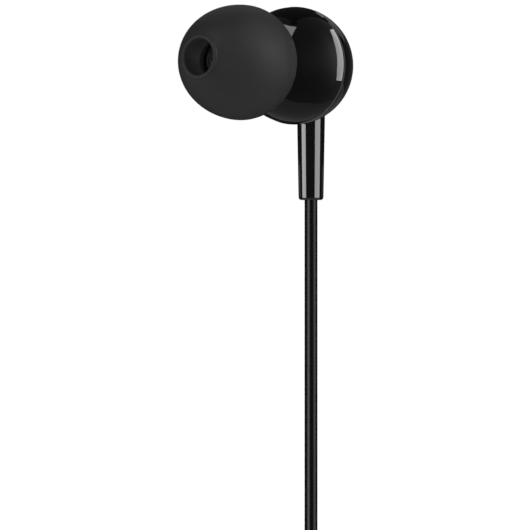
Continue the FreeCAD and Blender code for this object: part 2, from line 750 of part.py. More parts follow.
def plug_parts(top):
    """Strain relief, grip and contacts of the plug, hanging down from the height top."""
    relief_low = top - RELIEF_LENGTH
    grip_low = relief_low - GRIP_LENGTH
    flange_low = grip_low - FLANGE_THICK
    band = PLUG_BAND
    sleeve_low = flange_low - PLUG_SLEEVE_LENGTH
    ring_high = sleeve_low - band
    ring_low = ring_high - PLUG_RING_LENGTH
    tip_high = ring_low - band
    tip_low = tip_high - PLUG_TIP_LENGTH

    relief = Profile(0, top)
    relief.line(RELIEF_END_R - RELIEF_ROUND, top)
    relief.line(RELIEF_END_R, top - RELIEF_ROUND)
    relief.line(RELIEF_BASE_R, relief_low)
    relief.line(0, relief_low)
    cord_hole = rod(MAIN_D / 2, relief_low + RELIEF_LENGTH / 2, top + OVER)

    grip = Profile(0, relief_low)
    shy = GRIP_ROUND * (1 - math.sqrt(0.5))
    grip.line(GRIP_R - GRIP_ROUND, relief_low)
    grip.arc((GRIP_R - shy, relief_low - shy), (GRIP_R, relief_low - GRIP_ROUND))
    grip.line(GRIP_R, grip_low + GRIP_CHAMFER)
    grip.line(GRIP_R - GRIP_CHAMFER, grip_low)
    grip.line(0, grip_low)
    root = rod(FLANGE_R, grip_low, grip_low + FLANGE_THICK)

    sleeve = Profile(PLUG_CORE_R + FIT, grip_low + FLANGE_THICK)
    sleeve.line(FLANGE_R - FIT, grip_low + FLANGE_THICK)
    sleeve.line(FLANGE_R - FIT, flange_low)
    sleeve.line(PLUG_R, flange_low)
    sleeve.line(PLUG_R, sleeve_low)
    sleeve.line(PLUG_CORE_R + FIT, sleeve_low)

    contact = ring(PLUG_CORE_R + FIT, PLUG_R, ring_low, ring_high)

    bulb = tip_high - PLUG_TIP_SHANK
    tip = Profile(0, grip_low + FLANGE_THICK)
    tip.line(PLUG_CORE_R, grip_low + FLANGE_THICK)
    tip.line(PLUG_CORE_R, tip_high)
    tip.line(PLUG_R, tip_high)
    tip.line(PLUG_R, tip_high - band / 2)
    tip.line(PLUG_TIP_NECK_R, (tip_high + bulb) / 2)
    tip.line(PLUG_TIP_BULB_R, bulb)
    tip.line(PLUG_NOSE_R, tip_low)
    tip.line(0, tip_low)

    bands = [ring(PLUG_CORE_R + FIT, PLUG_R, low, low + band) for low in (ring_high, tip_high)]
    pieces = {
        "plug_relief": relief.turned().cut(cord_hole),
        "plug_grip": grip.turned().cut(root),
        "plug_sleeve": sleeve.turned(),
        "plug_ring": contact,
        "plug_tip": tip.turned(),
        "plug_insulators": Part.makeCompound(bands),
    }
    line = Vector(0, PLUG_LINE, 0)
    return {name: aimed(shape, UP, line) for name, shape in pieces.items()}


def cord_parts(left_stem_end):
    """Leads, hank, splitter, tie and plug."""
    right_out = RIGHT_LEVELS * LEAD_PITCH
    left_out = LEFT_LEVELS * LEAD_PITCH
    main_out = (MAIN_LEVELS - 1) * MAIN_PITCH
    right_hank = hank_slab(FOLD_R_LEAD, LEAD_D, right_out, HANK_BACK - LEAD_PITCH, HANK_BACK)
    left_hank = hank_slab(FOLD_R_LEAD, LEAD_D, left_out, MAIN_BACK, HANK_BACK - LEAD_PITCH)
    main_hank = hank_slab(FOLD_R_MAIN, MAIN_D, main_out, MAIN_FRONT, MAIN_BACK)

    turns = right_hank.fuse(left_hank).fuse(main_hank)
    right_points = [Vector(0, STEM_BACK, -STEM_END)] + lead_tail(1, RIGHT_COLUMN)
    left_points = [Vector(0, STEM_BACK, left_stem_end)] + lead_tail(-1, LEFT_COLUMN)
    right_tail = tube("right_lead", right_points, LEAD_D).cut(turns)
    left_tail = tube("left_lead", left_points, LEAD_D).cut(turns)
    half = LEAD_PITCH / 2
    right_x = FOLD_R_LEAD + right_out
    left_x = FOLD_R_LEAD + left_out
    main_x = FOLD_R_MAIN + main_out
    main_y = MAIN_BACK - MAIN_PITCH / 2
    right_link = splitter_link("right_link", LEFT_COLUMN + half, RIGHT_COLUMN, right_x, 1, LEAD_D, turns)
    left_link = splitter_link("left_link", LEFT_COLUMN - half, LEFT_COLUMN, left_x, 1, LEAD_D, turns)
    main_top = splitter_link("main_link", LEFT_COLUMN, main_y, main_x, -1, MAIN_D, turns)
    column = MAIN_FRONT + MAIN_PITCH / 2
    plug_top = -HANK_LOW - PLUG_DROP
    main_points = [
        from_waist(0, PLUG_LINE, plug_top - RELIEF_LENGTH / 2),
        from_waist(0, PLUG_LINE, -HANK_HALF - MAIN_EYE_ABOVE),
        from_waist(MAIN_EYE_SIDE, (PLUG_LINE + column) / 2, -HANK_HALF + EYE_MIDDLE),
        from_waist(MAIN_LIMB_SIDE, column, -HANK_HALF + LIMB_DEPTH),
    ]
    main_tail = tube("main_lead", main_points, MAIN_D).cut(turns)
    pieces = {
        "right_lead": Part.makeCompound([right_tail, right_link]),
        "left_lead": Part.makeCompound([left_tail, left_link]),
        "main_lead": Part.makeCompound([main_tail, main_top]),
        "right_hank": right_hank,
        "left_hank": left_hank,
        "main_hank": main_hank,
        "splitter": splitter(),
        "wire_tie": wire_tie(LEAD_D / 2 + WAIST_SLACK + left_out + LEAD_D / 2),
    }
    pieces.update(plug_parts(WAIST_HEIGHT + plug_top))
    return pieces


def left_side(shape, left_stem_end):
    """Mirror the right earpiece upside down and turn it about its stem, below the hank."""
    stem = Vector(0, STEM_BACK, -STEM_END)
    mirrored = shape.mirror(stem, UP)
    turn = Placement(Vector(0, 0, 0), Rotation(UP, LEFT_TURN), stem)
    drop = Placement(Vector(0, 0, left_stem_end + STEM_END), Rotation())
    mirrored.Placement = drop.multiply(turn).multiply(mirrored.Placement)
    return mirrored


def main():
    """Build every piece, move it into the part's frame and write it."""
    os.makedirs("parts", exist_ok=True)
    left_stem_end = WAIST_HEIGHT - HANK_LOW - LEFT_DROP
    pieces = {}
    for name, build in EARPIECE.items():
        shape = build()
        pieces["right_" + name] = shape
        pieces["left_" + name] = left_side(shape, left_stem_end)
    pieces.update(cord_parts(left_stem_end))
    for name, shape in pieces.items():
        moved = shape.copy()
        moved.translate(-SEAT)
        moved.exportStep("parts/" + name + ".step")
        if not moved.isValid() or not moved.Solids:
            print("check", name, "valid", moved.isValid(), "solids", len(moved.Solids))
    print(len(pieces), "pieces")


main()
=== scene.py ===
"""Wired earphones: surfaces, finishes, leads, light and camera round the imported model.

Shapes are worked out in millimetres in the right housing's frame: its middle is the origin, it faces along -Y,
and its stem and lead hang down along -Z. They are written in metres in the part's frame, whose origin is the
middle of the right ear tip's widest section.
"""
from __future__ import annotations

import json
import logging
import math
from dataclasses import dataclass
from enum import Enum
from typing import Mapping, Sequence, Union

import bmesh
import bpy
import numpy as np
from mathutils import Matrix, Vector

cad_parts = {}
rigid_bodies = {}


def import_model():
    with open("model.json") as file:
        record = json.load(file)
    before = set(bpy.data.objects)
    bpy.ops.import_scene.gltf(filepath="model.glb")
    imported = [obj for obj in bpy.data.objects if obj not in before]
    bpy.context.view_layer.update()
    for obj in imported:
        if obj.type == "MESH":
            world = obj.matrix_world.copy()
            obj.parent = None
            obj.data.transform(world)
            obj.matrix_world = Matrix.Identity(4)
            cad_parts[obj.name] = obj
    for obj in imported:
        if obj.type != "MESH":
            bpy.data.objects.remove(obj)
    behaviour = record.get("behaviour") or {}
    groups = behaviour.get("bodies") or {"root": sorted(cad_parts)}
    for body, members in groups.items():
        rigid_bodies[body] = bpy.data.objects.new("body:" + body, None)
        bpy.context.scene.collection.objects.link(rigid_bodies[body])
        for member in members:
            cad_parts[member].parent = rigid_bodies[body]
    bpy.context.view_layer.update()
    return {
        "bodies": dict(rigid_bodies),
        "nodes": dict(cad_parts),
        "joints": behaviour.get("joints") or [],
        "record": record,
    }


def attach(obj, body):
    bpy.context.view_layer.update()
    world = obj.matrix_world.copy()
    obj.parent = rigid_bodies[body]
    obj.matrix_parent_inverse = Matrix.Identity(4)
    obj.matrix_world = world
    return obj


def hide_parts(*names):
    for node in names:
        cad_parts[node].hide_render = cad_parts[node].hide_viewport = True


LOG = logging.getLogger("earphones")
Array = np.ndarray
Triple = tuple[float, float, float]
Colour = Triple
MILLIMETRE = 0.001
MERGE_DISTANCE = 1e-8  # metres between points that are one
REPEAT_DISTANCE = 1e-6  # millimetres between points of a section that are one
NEARLY_UPRIGHT = 0.9  # share of an axis along Z past which X helps to find its sides
WAVE_FACTOR = 20.0  # what the wave texture multiplies a place by before it takes the sine


class Side(Enum):
    """Which of the two earpieces a piece belongs to."""

    RIGHT = "right"
    LEFT = "left"


class Ends(Enum):
    """How the first and last row of a surface are treated."""

    OPEN = "open"
    JOINED = "joined"
    CAPPED = "capped"


class Axis(Enum):
    """An axis that a pattern follows."""

    X = "X"
    Y = "Y"
    Z = "Z"


class Marks(Enum):
    """How ridges lie: in even bands along an axis, or in rings round it."""

    BANDS = "BANDS"
    RINGS = "RINGS"


@dataclass(frozen=True)
class Layout:
    """Places that the sub-assemblies share, the same as in the part's source, in millimetres and degrees."""

    nozzle_yaw: float = 8.9
    nozzle_pitch: float = 0.8
    seat_distance: float = 8.64
    stem_back: float = 3.69
    stem_end: float = 14.25
    lead_d: float = 1.40
    main_d: float = 1.80
    hank_top: float = 51.50
    hank_half: float = 13.50
    fold_lead: float = 5.20
    fold_main: float = 5.40
    pitch_slack: float = 0.02
    waist_slack: float = 0.05
    right_levels: float = 3.0
    left_levels: float = 3.5
    main_columns: int = 3
    main_levels: int = 3
    tail_gap: float = 0.10
    left_drop: float = 5.00
    left_turn: float = -90.0
    plug_drop: float = 4.00
    relief_length: float = 9.00
    splitter_out: float = 10.00
    splitter_length: float = 10.00

    @property
    def nozzle(self) -> Array:
        """Direction of the sound nozzle, turned outward and up from the way the housing faces."""
        yaw, pitch = math.radians(self.nozzle_yaw), math.radians(self.nozzle_pitch)
        flat = math.cos(pitch)
        return np.array([-math.sin(yaw) * flat, -math.cos(yaw) * flat, math.sin(pitch)])

    @property
    def seat(self) -> Array:
        """Middle of the right ear tip's widest section, the part's origin."""
        return self.nozzle * self.seat_distance

    @property
    def lead_pitch(self) -> float:
        """Distance between neighbouring turns of the thin lead."""
        return self.lead_d + self.pitch_slack

    @property
    def main_pitch(self) -> float:
        """Distance between neighbouring turns of the main lead."""
        return self.main_d + self.pitch_slack

    @property
    def hank_reach(self) -> float:
        """Distance from the hank's waist to its top or bottom."""
        return self.hank_half + self.fold_lead + self.left_levels * self.lead_pitch + self.lead_d / 2

    @property
    def waist(self) -> float:
        """Height of the hank's waist."""
        return -self.hank_top - self.hank_reach

    @property
    def hank_back(self) -> float:
        """Rear face of the hank."""
        return self.stem_back - self.lead_d / 2 - self.tail_gap

    @property
    def right_column(self) -> float:
        """Middle of the right lead's column of turns."""
        return self.hank_back - self.lead_pitch / 2

    @property
    def left_column(self) -> float:
        """Middle of the left lead's column of turns."""
        return self.right_column - self.lead_pitch

    @property
    def main_back(self) -> float:
        """Rear face of the main lead's turns."""
        return self.left_column - self.lead_pitch / 2

    @property
    def main_front(self) -> float:
        """Front face of the main lead's turns."""
        return self.main_back - self.main_columns * self.main_pitch

    @property
    def plug_line(self) -> float:
        """Depth at which the plug hangs."""
        return self.main_front - self.tail_gap - self.main_d / 2

    @property
    def left_stem_end(self) -> float:
        """Height of the left stem's mouth, below the hank."""
        return self.waist - self.hank_reach - self.left_drop

    @property
    def plug_top(self) -> float:
        """Height of the plug's strain relief at its thin end."""
        return self.waist - self.hank_reach - self.plug_drop


LAYOUT = Layout()
UPWARD = np.array([0.0, 0.0, 1.0])
FORWARD = np.array([0.0, -1.0, 0.0])


def in_part(points: Array) -> Array:
    """Move points from the right housing's frame in millimetres into the part's frame in metres.

    Args:
        points: Array whose last axis holds x, y and z.

    Returns:
        The moved points, of the same shape.
    """
    return (np.asarray(points, float) - LAYOUT.seat) * MILLIMETRE


def on_side(points: Array, side: Side) -> Array:
    """Place points of the right earpiece on either side.

    The left earpiece is the right one mirrored about the stem's mouth, turned about the stem's axis and lowered.

    Args:
        points: Points of the right earpiece in millimetres.
        side: The earpiece they are for.

    Returns:
        The placed points in millimetres.
    """
    if side is Side.RIGHT:
        return points
    turn = math.radians(LAYOUT.left_turn)
    x, y, z = points[..., 0], points[..., 1] - LAYOUT.stem_back, points[..., 2]
    turned_x = x * math.cos(turn) - y * math.sin(turn)
    turned_y = x * math.sin(turn) + y * math.cos(turn) + LAYOUT.stem_back
    return np.stack([turned_x, turned_y, LAYOUT.left_stem_end - LAYOUT.stem_end - z], axis=-1)


def aimed(points: Array, direction: Array, start: Array = np.zeros(3)) -> Array:
    """Turn points made along local Z so that Z is the given direction, and move them to start.

    Args:
        points: Points in a local frame.
        direction: Unit vector that local Z becomes.
        start: Where the local origin goes.

    Returns:
        The turned and moved points.
    """
    axis = direction / np.linalg.norm(direction)
    helper = np.array([1.0, 0.0, 0.0]) if abs(axis[2]) > NEARLY_UPRIGHT else np.array([0.0, 0.0, 1.0])
    across = np.cross(helper, axis)
    across /= np.linalg.norm(across)
    frame = np.stack([across, np.cross(axis, across), axis])
    return points @ frame + start


def angle_at(height: float, radius: float) -> float:
    """Angle in degrees at which a circle of a radius reaches a height: the inverse sine of height over radius."""
    return math.degrees(math.asin(height / radius))


class Outline:
    """Section of a turned piece: points of radius and height, added in order."""

    def __init__(self, radius: float, height: float) -> None:
        """Start the section.

        Args:
            radius: Distance from the axis.
            height: Place along the axis.
        """
        self.rows: list[Array] = [np.array([[radius, height]])]

    @property
    def last(self) -> Array:
        """The newest point."""
        return self.rows[-1][-1]

    def line(self, radius: float, height: float, steps: int = 1) -> "Outline":
        """Add a straight run to a new point, in equal steps.

        Args:
            radius: The point's distance from the axis.
            height: Its place along the axis.
            steps: Number of pieces.

        Returns:
            The outline itself.
        """
        share = np.linspace(0, 1, steps + 1)[1:, None]
        self.rows.append(self.last + share * (np.array([radius, height]) - self.last))
        return self

    def arc(self, centre: tuple[float, float], radii: tuple[float, float], start: float, stop: float,
            steps: int) -> "Outline":
        """Add an arc of an ellipse: centre plus radii times the cosine and sine of the angle.

        Args:
            centre: Radius and height of the ellipse's middle.
            radii: Half axes across and along the axis of turning.
            start: First angle in degrees, from the outward direction towards the axis of turning.
            stop: Last angle in degrees.
            steps: Number of pieces.

        Returns:
            The outline itself.
        """
        angle = np.radians(np.linspace(start, stop, steps + 1))
        self.rows.append(np.stack([centre[0] + radii[0] * np.cos(angle), centre[1] + radii[1] * np.sin(angle)], -1))
        return self

    def points(self) -> Array:
        """All points in order, without repeats."""
        joined = np.concatenate(self.rows)
        keep = np.r_[True, np.linalg.norm(np.diff(joined, axis=0), axis=1) > REPEAT_DISTANCE]
        return joined[keep]


@dataclass
class Surface:
    """A grid of points whose rows are rings, each joined to itself."""

    grid: Array
    ends: Ends = Ends.JOINED

    def faces(self, first: int) -> list[list[int]]:
        """Quads between neighbouring rings, and the two end faces where the ends are capped.

        Args:
            first: Index of the grid's first vertex in the mesh.

        Returns:
            Faces as lists of vertex indices.
        """
        rings, around = self.grid.shape[:2]
        row = np.arange(rings if self.ends is Ends.JOINED else rings - 1)[:, None]
        column = np.arange(around)[None, :]
        beyond, beside = (row + 1) % rings, (column + 1) % around
        quads = np.stack([row * around + column, row * around + beside, beyond * around + beside,
                          beyond * around + column], axis=-1).reshape(-1, 4) + first
        made = quads.tolist()
        if self.ends is Ends.CAPPED:
            made.append((first + np.arange(around)[::-1]).tolist())
            made.append((first + (rings - 1) * around + np.arange(around)).tolist())
        return made


def turned(outline: Outline, direction: Array, around: int, start: Array = np.zeros(3),
           ends: Ends = Ends.JOINED) -> Surface:
    """Turn a section about an axis: x and y are the radius times the cosine and sine of the turn, z the height.

    Args:
        outline: The section.
        direction: Direction of the axis.
        around: Points in a ring.
        start: Point of the axis at height zero.
        ends: Whether the section closes on itself or ends on the axis.

    Returns:
        The turned surface.
    """
    section = outline.points()
    turn = np.linspace(0, 2 * math.pi, around, endpoint=False)
    radius, height = section[:, :1], section[:, 1:]
    grid = np.stack([radius * np.cos(turn), radius * np.sin(turn), np.broadcast_to(height, (len(section), around))],
                    axis=-1)
    return Surface(aimed(grid, direction, start), ends)


def swept(path: Array, across: Array, up: Array, section: Array, ends: Ends = Ends.CAPPED) -> Surface:
    """Carry a section along a path: path plus the section's two coordinates times the path's two side vectors.

    Args:
        path: Points of the path.
        across: Side vector at each point.
        up: Second side vector at each point.
        section: Closed outline of pairs, the same at each point or one for each.
        ends: Whether the path closes.

    Returns:
        The swept surface.
    """
    section = np.broadcast_to(section, (len(path),) + section.shape[-2:])
    grid = path[:, None] + section[..., :1] * across[:, None] + section[..., 1:] * up[:, None]
    return Surface(grid, ends)


def rounded_rectangle(width: float, height: float, corner: float, steps: int = 6) -> Array:
    """Closed outline of a rectangle whose corners are quarter circles.

    Args:
        width: Whole width.
        height: Whole height.
        corner: Radius of the corners.
        steps: Pieces in a corner.

    Returns:
        Points as pairs, counter-clockwise.
    """
    angle = np.radians(np.linspace(0, 90, steps + 1))
    runs = []
    for quarter, (sign_x, sign_y) in enumerate(((1, 1), (-1, 1), (-1, -1), (1, -1))):
        turn = angle + quarter * math.pi / 2
        middle = np.array([sign_x * (width / 2 - corner), sign_y * (height / 2 - corner)])
        runs.append(middle + corner * np.stack([np.cos(turn), np.sin(turn)], -1))
    return np.concatenate(runs)


def signed_volume(points: Array, faces: Sequence[Sequence[int]]) -> float:
    """Volume inside the faces: a sixth of the sum of the triple products of each face's fan of triangles.

    Args:
        points: The vertices' places.
        faces: The faces as lists of vertex indices.

    Returns:
        The volume, negative where the faces point inwards.
    """
    quads = np.array([face for face in faces if len(face) == 4])
    triangles = [quads[:, [0, 1, 2]], quads[:, [0, 2, 3]]]
    for face in faces:
        if len(face) != 4:
            triangles.append(np.stack([np.full(len(face) - 2, face[0]), face[1:-1], face[2:]], -1))
    first, second, third = (points[corner] for corner in np.concatenate(triangles).T)
    return float((first * np.cross(second, third)).sum()) / 6


def placed(name: str, data: bpy.types.ID) -> bpy.types.Object:
    """Make an object and put it in the scene.

    Args:
        name: Its name.
        data: Its mesh, curve, light or camera.

    Returns:
        The object.
    """
    made = bpy.data.objects.new(name, data)
    bpy.context.scene.collection.objects.link(made)
    return made


@dataclass
class Piece:
    """One visible piece: its surfaces, finish, and what it stands for."""

    name: str
    surfaces: Sequence[Surface]
    finish: "Finish"
    slot: str
    nodes: Sequence[str]
    body: str = "root"
    side: Side = Side.RIGHT
    crease: float = 32.0

    def make(self) -> bpy.types.Object:
        """Build the mesh, dress it, and tie it to its body and nodes.

        Returns:
            The piece's object, at the origin.
        """
        points: list[Array] = []
        faces: list[list[int]] = []
        count = 0
        for surface in self.surfaces:
            place = in_part(on_side(surface.grid, self.side)).reshape(-1, 3)
            own = surface.faces(0)
            if signed_volume(place - place.mean(0), own) < 0:
                own = [face[::-1] for face in own]
            faces += [[index + count for index in face] for face in own]
            points.append(place)
            count += len(place)
        mesh = bpy.data.meshes.new(self.name)
        mesh.from_pydata(np.concatenate(points).tolist(), [], faces)
        self.close_poles(mesh)
        mesh.shade_smooth()
        mesh.set_sharp_from_angle(angle=math.radians(self.crease))
        piece = placed(self.name, mesh)
        self.finish.put_on(piece)
        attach(piece, self.body)
        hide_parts(*self.nodes)
        LOG.info("%s: %d vertices", self.name, len(mesh.vertices))
        return piece

    @staticmethod
    def close_poles(mesh: bpy.types.Mesh) -> None:
        """Merge the points that fall together where a turned surface meets its axis.

        Args:
            mesh: The mesh, changed in place.
        """
        edit = bmesh.new()
        edit.from_mesh(mesh)
        bmesh.ops.remove_doubles(edit, verts=edit.verts, dist=MERGE_DISTANCE)
        edit.to_mesh(mesh)
        edit.free()


Value = Union["Signal", float, Sequence[float]]


class Signal:
    """A shader socket that adds Math nodes when it is used in sums."""

    def __init__(self, nodes: "Nodes", socket: bpy.types.NodeSocket) -> None:
        """Wrap a socket.

        Args:
            nodes: The nodes that the socket belongs to.
            socket: An output socket.
        """
        self.nodes = nodes
        self.socket = socket

    def sum_with(self, operation: str, first: Value, second: Value) -> "Signal":
        """Add one Math node for an operation on two values."""
        return self.nodes.add("ShaderNodeMath", {"operation": operation}, {0: first, 1: second})

    def __add__(self, other: Value) -> "Signal":
        """Sum of the two."""
        return self.sum_with("ADD", self, other)

    def __sub__(self, other: Value) -> "Signal":
        """This less the other."""
        return self.sum_with("SUBTRACT", self, other)

    def __rsub__(self, other: Value) -> "Signal":
        """The other less this."""
        return self.sum_with("SUBTRACT", other, self)

    def __mul__(self, other: Value) -> "Signal":
        """Product of the two."""
        return self.sum_with("MULTIPLY", self, other)

    __radd__, __rmul__ = __add__, __mul__


class Nodes:
    """The nodes of one material or of the world."""

    def __init__(self, owner: bpy.types.Material | bpy.types.World) -> None:
        """Start with no nodes.

        Args:
            owner: The material or the world.
        """
        owner.use_nodes = True
        self.tree = owner.node_tree
        self.tree.nodes.clear()

    def node(self, kind: str, settings: Mapping[str, object], inputs: Mapping[int | str, Value]) -> bpy.types.Node:
        """Add a node of any type.

        Args:
            kind: The node's type.
            settings: Its settings, set first; "stops" holds a ramp's places and colours.
            inputs: Values or signals by socket.

        Returns:
            The node.
        """
        node = self.tree.nodes.new(kind)
        for name, value in settings.items():
            if name == "stops":
                self.set_stops(node.color_ramp, value)
            else:
                setattr(node, name, value)
        for name, value in inputs.items():
            if isinstance(value, Signal):
                self.tree.links.new(value.socket, node.inputs[name])
            else:
                node.inputs[name].default_value = value
        return node

    def add(self, kind: str, settings: Mapping[str, object] | None = None,
            inputs: Mapping[int | str, Value] | None = None, output: int | str = 0) -> Signal:
        """Add a node and hand back one of its outputs."""
        return Signal(self, self.node(kind, settings or {}, inputs or {}).outputs[output])

    @staticmethod
    def set_stops(ramp: bpy.types.ColorRamp, stops: Sequence[tuple[float, Colour]]) -> None:
        """Give a ramp its places and colours.

        Args:
            ramp: The ramp, which starts with two stops.
            stops: Places from 0 to 1, each with its colour.
        """
        while len(ramp.elements) < len(stops):
            ramp.elements.new(1.0)
        for element, (place, colour) in zip(ramp.elements, stops):
            element.position = place
            element.color = (*colour, 1.0)


class Paint(Nodes):
    """One material's nodes, with Object coordinates to place its patterns."""

    def __init__(self, name: str) -> None:
        """Start an empty material.

        Args:
            name: Name of the material.
        """
        self.material = bpy.data.materials.new(name)
        super().__init__(self.material)
        self.place = self.add("ShaderNodeTexCoord", output="Object")

    def noise(self, size: float, detail: float) -> Signal:
        """Soft random pattern with features of about the given size in millimetres, between 0 and 1."""
        return self.add("ShaderNodeTexNoise", {"noise_dimensions": "3D"},
                        {"Vector": self.place, "Scale": 1 / (size * MILLIMETRE), "Detail": detail,
                         "Roughness": 0.55})

    def cells(self, size: float) -> Signal:
        """Distance to the nearest of scattered points about the given size apart in millimetres."""
        return self.add("ShaderNodeTexVoronoi", {"feature": "F1"},
                        {"Vector": self.place, "Scale": 1 / (size * MILLIMETRE)})

    def waves(self, pitch: float, axis: Axis, place: Signal, marks: Marks = Marks.BANDS) -> Signal:
        """Ridges between 0 and 1: half of one plus the sine of the place over the pitch, in turns.

        Args:
            pitch: Distance between ridges in millimetres.
            axis: The axis that they follow or surround.
            place: Coordinates.
            marks: Bands or rings.

        Returns:
            The ridges.
        """
        return self.add("ShaderNodeTexWave",
                        {"wave_type": marks.value, f"{marks.value.lower()}_direction": axis.value,
                         "wave_profile": "SIN"},
                        {"Vector": place, "Scale": 2 * math.pi / (WAVE_FACTOR * pitch * MILLIMETRE),
                         "Distortion": 0.0})

    def about(self, centre: Triple, turn: Triple) -> Signal:
        """Object coordinates moved so that a point of the part's frame is their origin, then turned."""
        shifted = self.add("ShaderNodeMapping", {"vector_type": "POINT"},
                           {"Vector": self.place, "Location": tuple(-value for value in centre)})
        return self.add("ShaderNodeMapping", {"vector_type": "POINT"}, {"Vector": shifted, "Rotation": turn})

    def tint(self, mask: Value, low: Colour, high: Colour) -> Signal:
        """Colour that runs from low to high with the mask."""
        return self.add("ShaderNodeValToRGB", {"stops": ((0.0, low), (1.0, high))}, {"Fac": mask})

    def relief(self, height: Value, depth: float) -> Signal:
        """Normal of a relief of the given depth in millimetres."""
        return self.add("ShaderNodeBump", {}, {"Height": height, "Distance": depth * MILLIMETRE, "Strength": 1.0})

    def surface(self, colour: Value, roughness: Value, normal: Signal | None = None,
                **fixed: float) -> bpy.types.Material:
        """Close the material with one principled shader.

        Args:
            colour: Base colour.
            roughness: Roughness.
            normal: Relief, or none.
            **fixed: Numbers that are the same all over, by socket name.

        Returns:
            The finished material.
        """
        inputs: dict[int | str, Value] = {"Base Color": colour, "Roughness": roughness, **fixed}
        if normal is not None:
            inputs["Normal"] = normal
        shader = self.add("ShaderNodeBsdfPrincipled", {}, inputs)
        self.node("ShaderNodeOutputMaterial", {}, {"Surface": shader})
        return self.material


Pattern = tuple[Signal, Signal, Signal, dict[str, float]]


def grey(level: float, blue: float = 0.0) -> Colour:
    """A grey of a level, with that much more blue."""
    return (level, level, level + blue)


@dataclass(frozen=True)
class Finish:
    """A finish: its name, the two colours it drifts between, its roughness, and one material made of them."""

    name: str
    dark: Colour
    light: Colour
    roughness: float

    def pattern(self, paint: Paint) -> Pattern:
        """Work out the finish's pattern; each one does it in its own way.

        Args:
            paint: The material's nodes, still empty.

        Returns:
            Mask between the two colours, roughness, relief, and the numbers that are the same all over.
        """
        raise NotImplementedError

    def material(self) -> bpy.types.Material:
        """The finish's material, made when it is first used.

        Returns:
            The material.
        """
        own = f"{self.name}_finish"
        if own in bpy.data.materials:
            return bpy.data.materials[own]
        paint = Paint(own)
        mask, roughness, relief, fixed = self.pattern(paint)
        return paint.surface(paint.tint(mask, self.dark, self.light), roughness, relief, **fixed)

    def put_on(self, piece: bpy.types.Object) -> None:
        """Give a piece or a model node this finish alone.

        Args:
            piece: Its object.
        """
        material = self.material()
        if not piece.material_slots:
            piece.data.materials.append(material)
        for place in piece.material_slots:
            place.material = material


@dataclass(frozen=True)
class GlossMoulding(Finish):
    """Piano-gloss moulded plastic: near black and mirror smooth, with a faint ripple and handling haze."""

    haze: float = 0.050
    ripple: float = 0.00025
    cloud_size: float = 2.6
    smear_size: float = 0.35
    ripple_size: float = 1.4

    def pattern(self, paint: Paint) -> Pattern:
        """Colour and haze follow a slow noise; the ripple is a shallow relief."""
        slow = paint.noise(self.cloud_size, detail=2.0)
        haze = slow * paint.noise(self.smear_size, detail=4.0) * self.haze
        ripple = paint.relief(paint.noise(self.ripple_size, detail=1.0), self.ripple)
        return slow, haze + self.roughness, ripple, {"IOR": 1.50}


@dataclass(frozen=True)
class Grained(Finish):
    """Rubber or a cable's jacket: colour drifts slowly, and a fine grain or pores change the gloss and the relief."""

    spread: float = 0.10
    grain: float = 0.0035
    grain_size: float = 0.085
    grain_detail: float = 3.0
    drift_size: float = 1.8
    drift_detail: float = 3.0
    refraction: float = 1.40

    def pattern(self, paint: Paint) -> Pattern:
        """One noise is the drift and a finer one the grain."""
        drift = paint.noise(self.drift_size, self.drift_detail)
        grain = paint.noise(self.grain_size, self.grain_detail)
        return drift, grain * self.spread + self.roughness, paint.relief(grain, self.grain), {"IOR": self.refraction}


@dataclass(frozen=True)
class Moulding(Finish):
    """Satin or matte moulded plastic with spark-eroded grain."""

    grain_size: float
    grain: float
    spread: float = 0.14
    fine: float = 0.6
    coarse_share: float = 0.6
    drift_size: float = 2.0

    def pattern(self, paint: Paint) -> Pattern:
        """Cells and noise together make the grain, which also breaks up the gloss."""
        fine = paint.noise(self.grain_size * self.fine, detail=2.0)
        grain = paint.cells(self.grain_size) * self.coarse_share + fine * (1 - self.coarse_share)
        drift = paint.noise(self.drift_size, detail=2.0)
        return drift, grain * self.spread + self.roughness, paint.relief(grain, self.grain), {"IOR": 1.49}


@dataclass(frozen=True)
class TurnedMetal(Finish):
    """Metal with fine turning marks and a little tarnish."""

    pitch: float = 0.05
    axis: Axis = Axis.Z
    mark: float = 0.0006
    centre: Triple = (0.0, 0.0, 0.0)
    turn: Triple = (0.0, 0.0, 0.0)
    marks: Marks = Marks.BANDS
    mark_spread: float = 0.06
    tarnish_spread: float = 0.10
    tarnish_size: float = 0.8

    def pattern(self, paint: Paint) -> Pattern:
        """Ridges along or round the axis make the marks; noise makes the tarnish."""
        marks = paint.waves(self.pitch, self.axis, paint.about(self.centre, self.turn), self.marks)
        tarnish = paint.noise(self.tarnish_size, detail=4.0)
        roughness = marks * self.mark_spread + tarnish * self.tarnish_spread + self.roughness
        return tarnish, roughness, paint.relief(marks, self.mark), {"Metallic": 1.0}


@dataclass(frozen=True)
class Porous(Finish):
    """Open foam or soft paper: matte, with pores or fibres of one size."""

    pore: float = 0.12
    depth: float = 0.05
    spread: float = 0.15

    def pattern(self, paint: Paint) -> Pattern:
        """Cells make the pits of the pores' relief, and their dark middles are painted shade in the pits."""
        cells = paint.cells(self.pore)
        return cells, self.roughness - cells * self.spread, paint.relief(cells, self.depth), {"IOR": 1.4}


@dataclass(frozen=True)
class Winding(Finish):
    """Fine enamelled copper wire, wound side by side."""

    axis: Axis
    wire: float = 0.06
    spread: float = 0.08

    def pattern(self, paint: Paint) -> Pattern:
        """Ridges along the coil's axis are the wires; the darker colour in their grooves is painted shade."""
        wires = paint.waves(self.wire, self.axis, paint.place)
        return wires, self.roughness - wires * self.spread, paint.relief(wires, self.wire / 2), {"Metallic": 0.85}


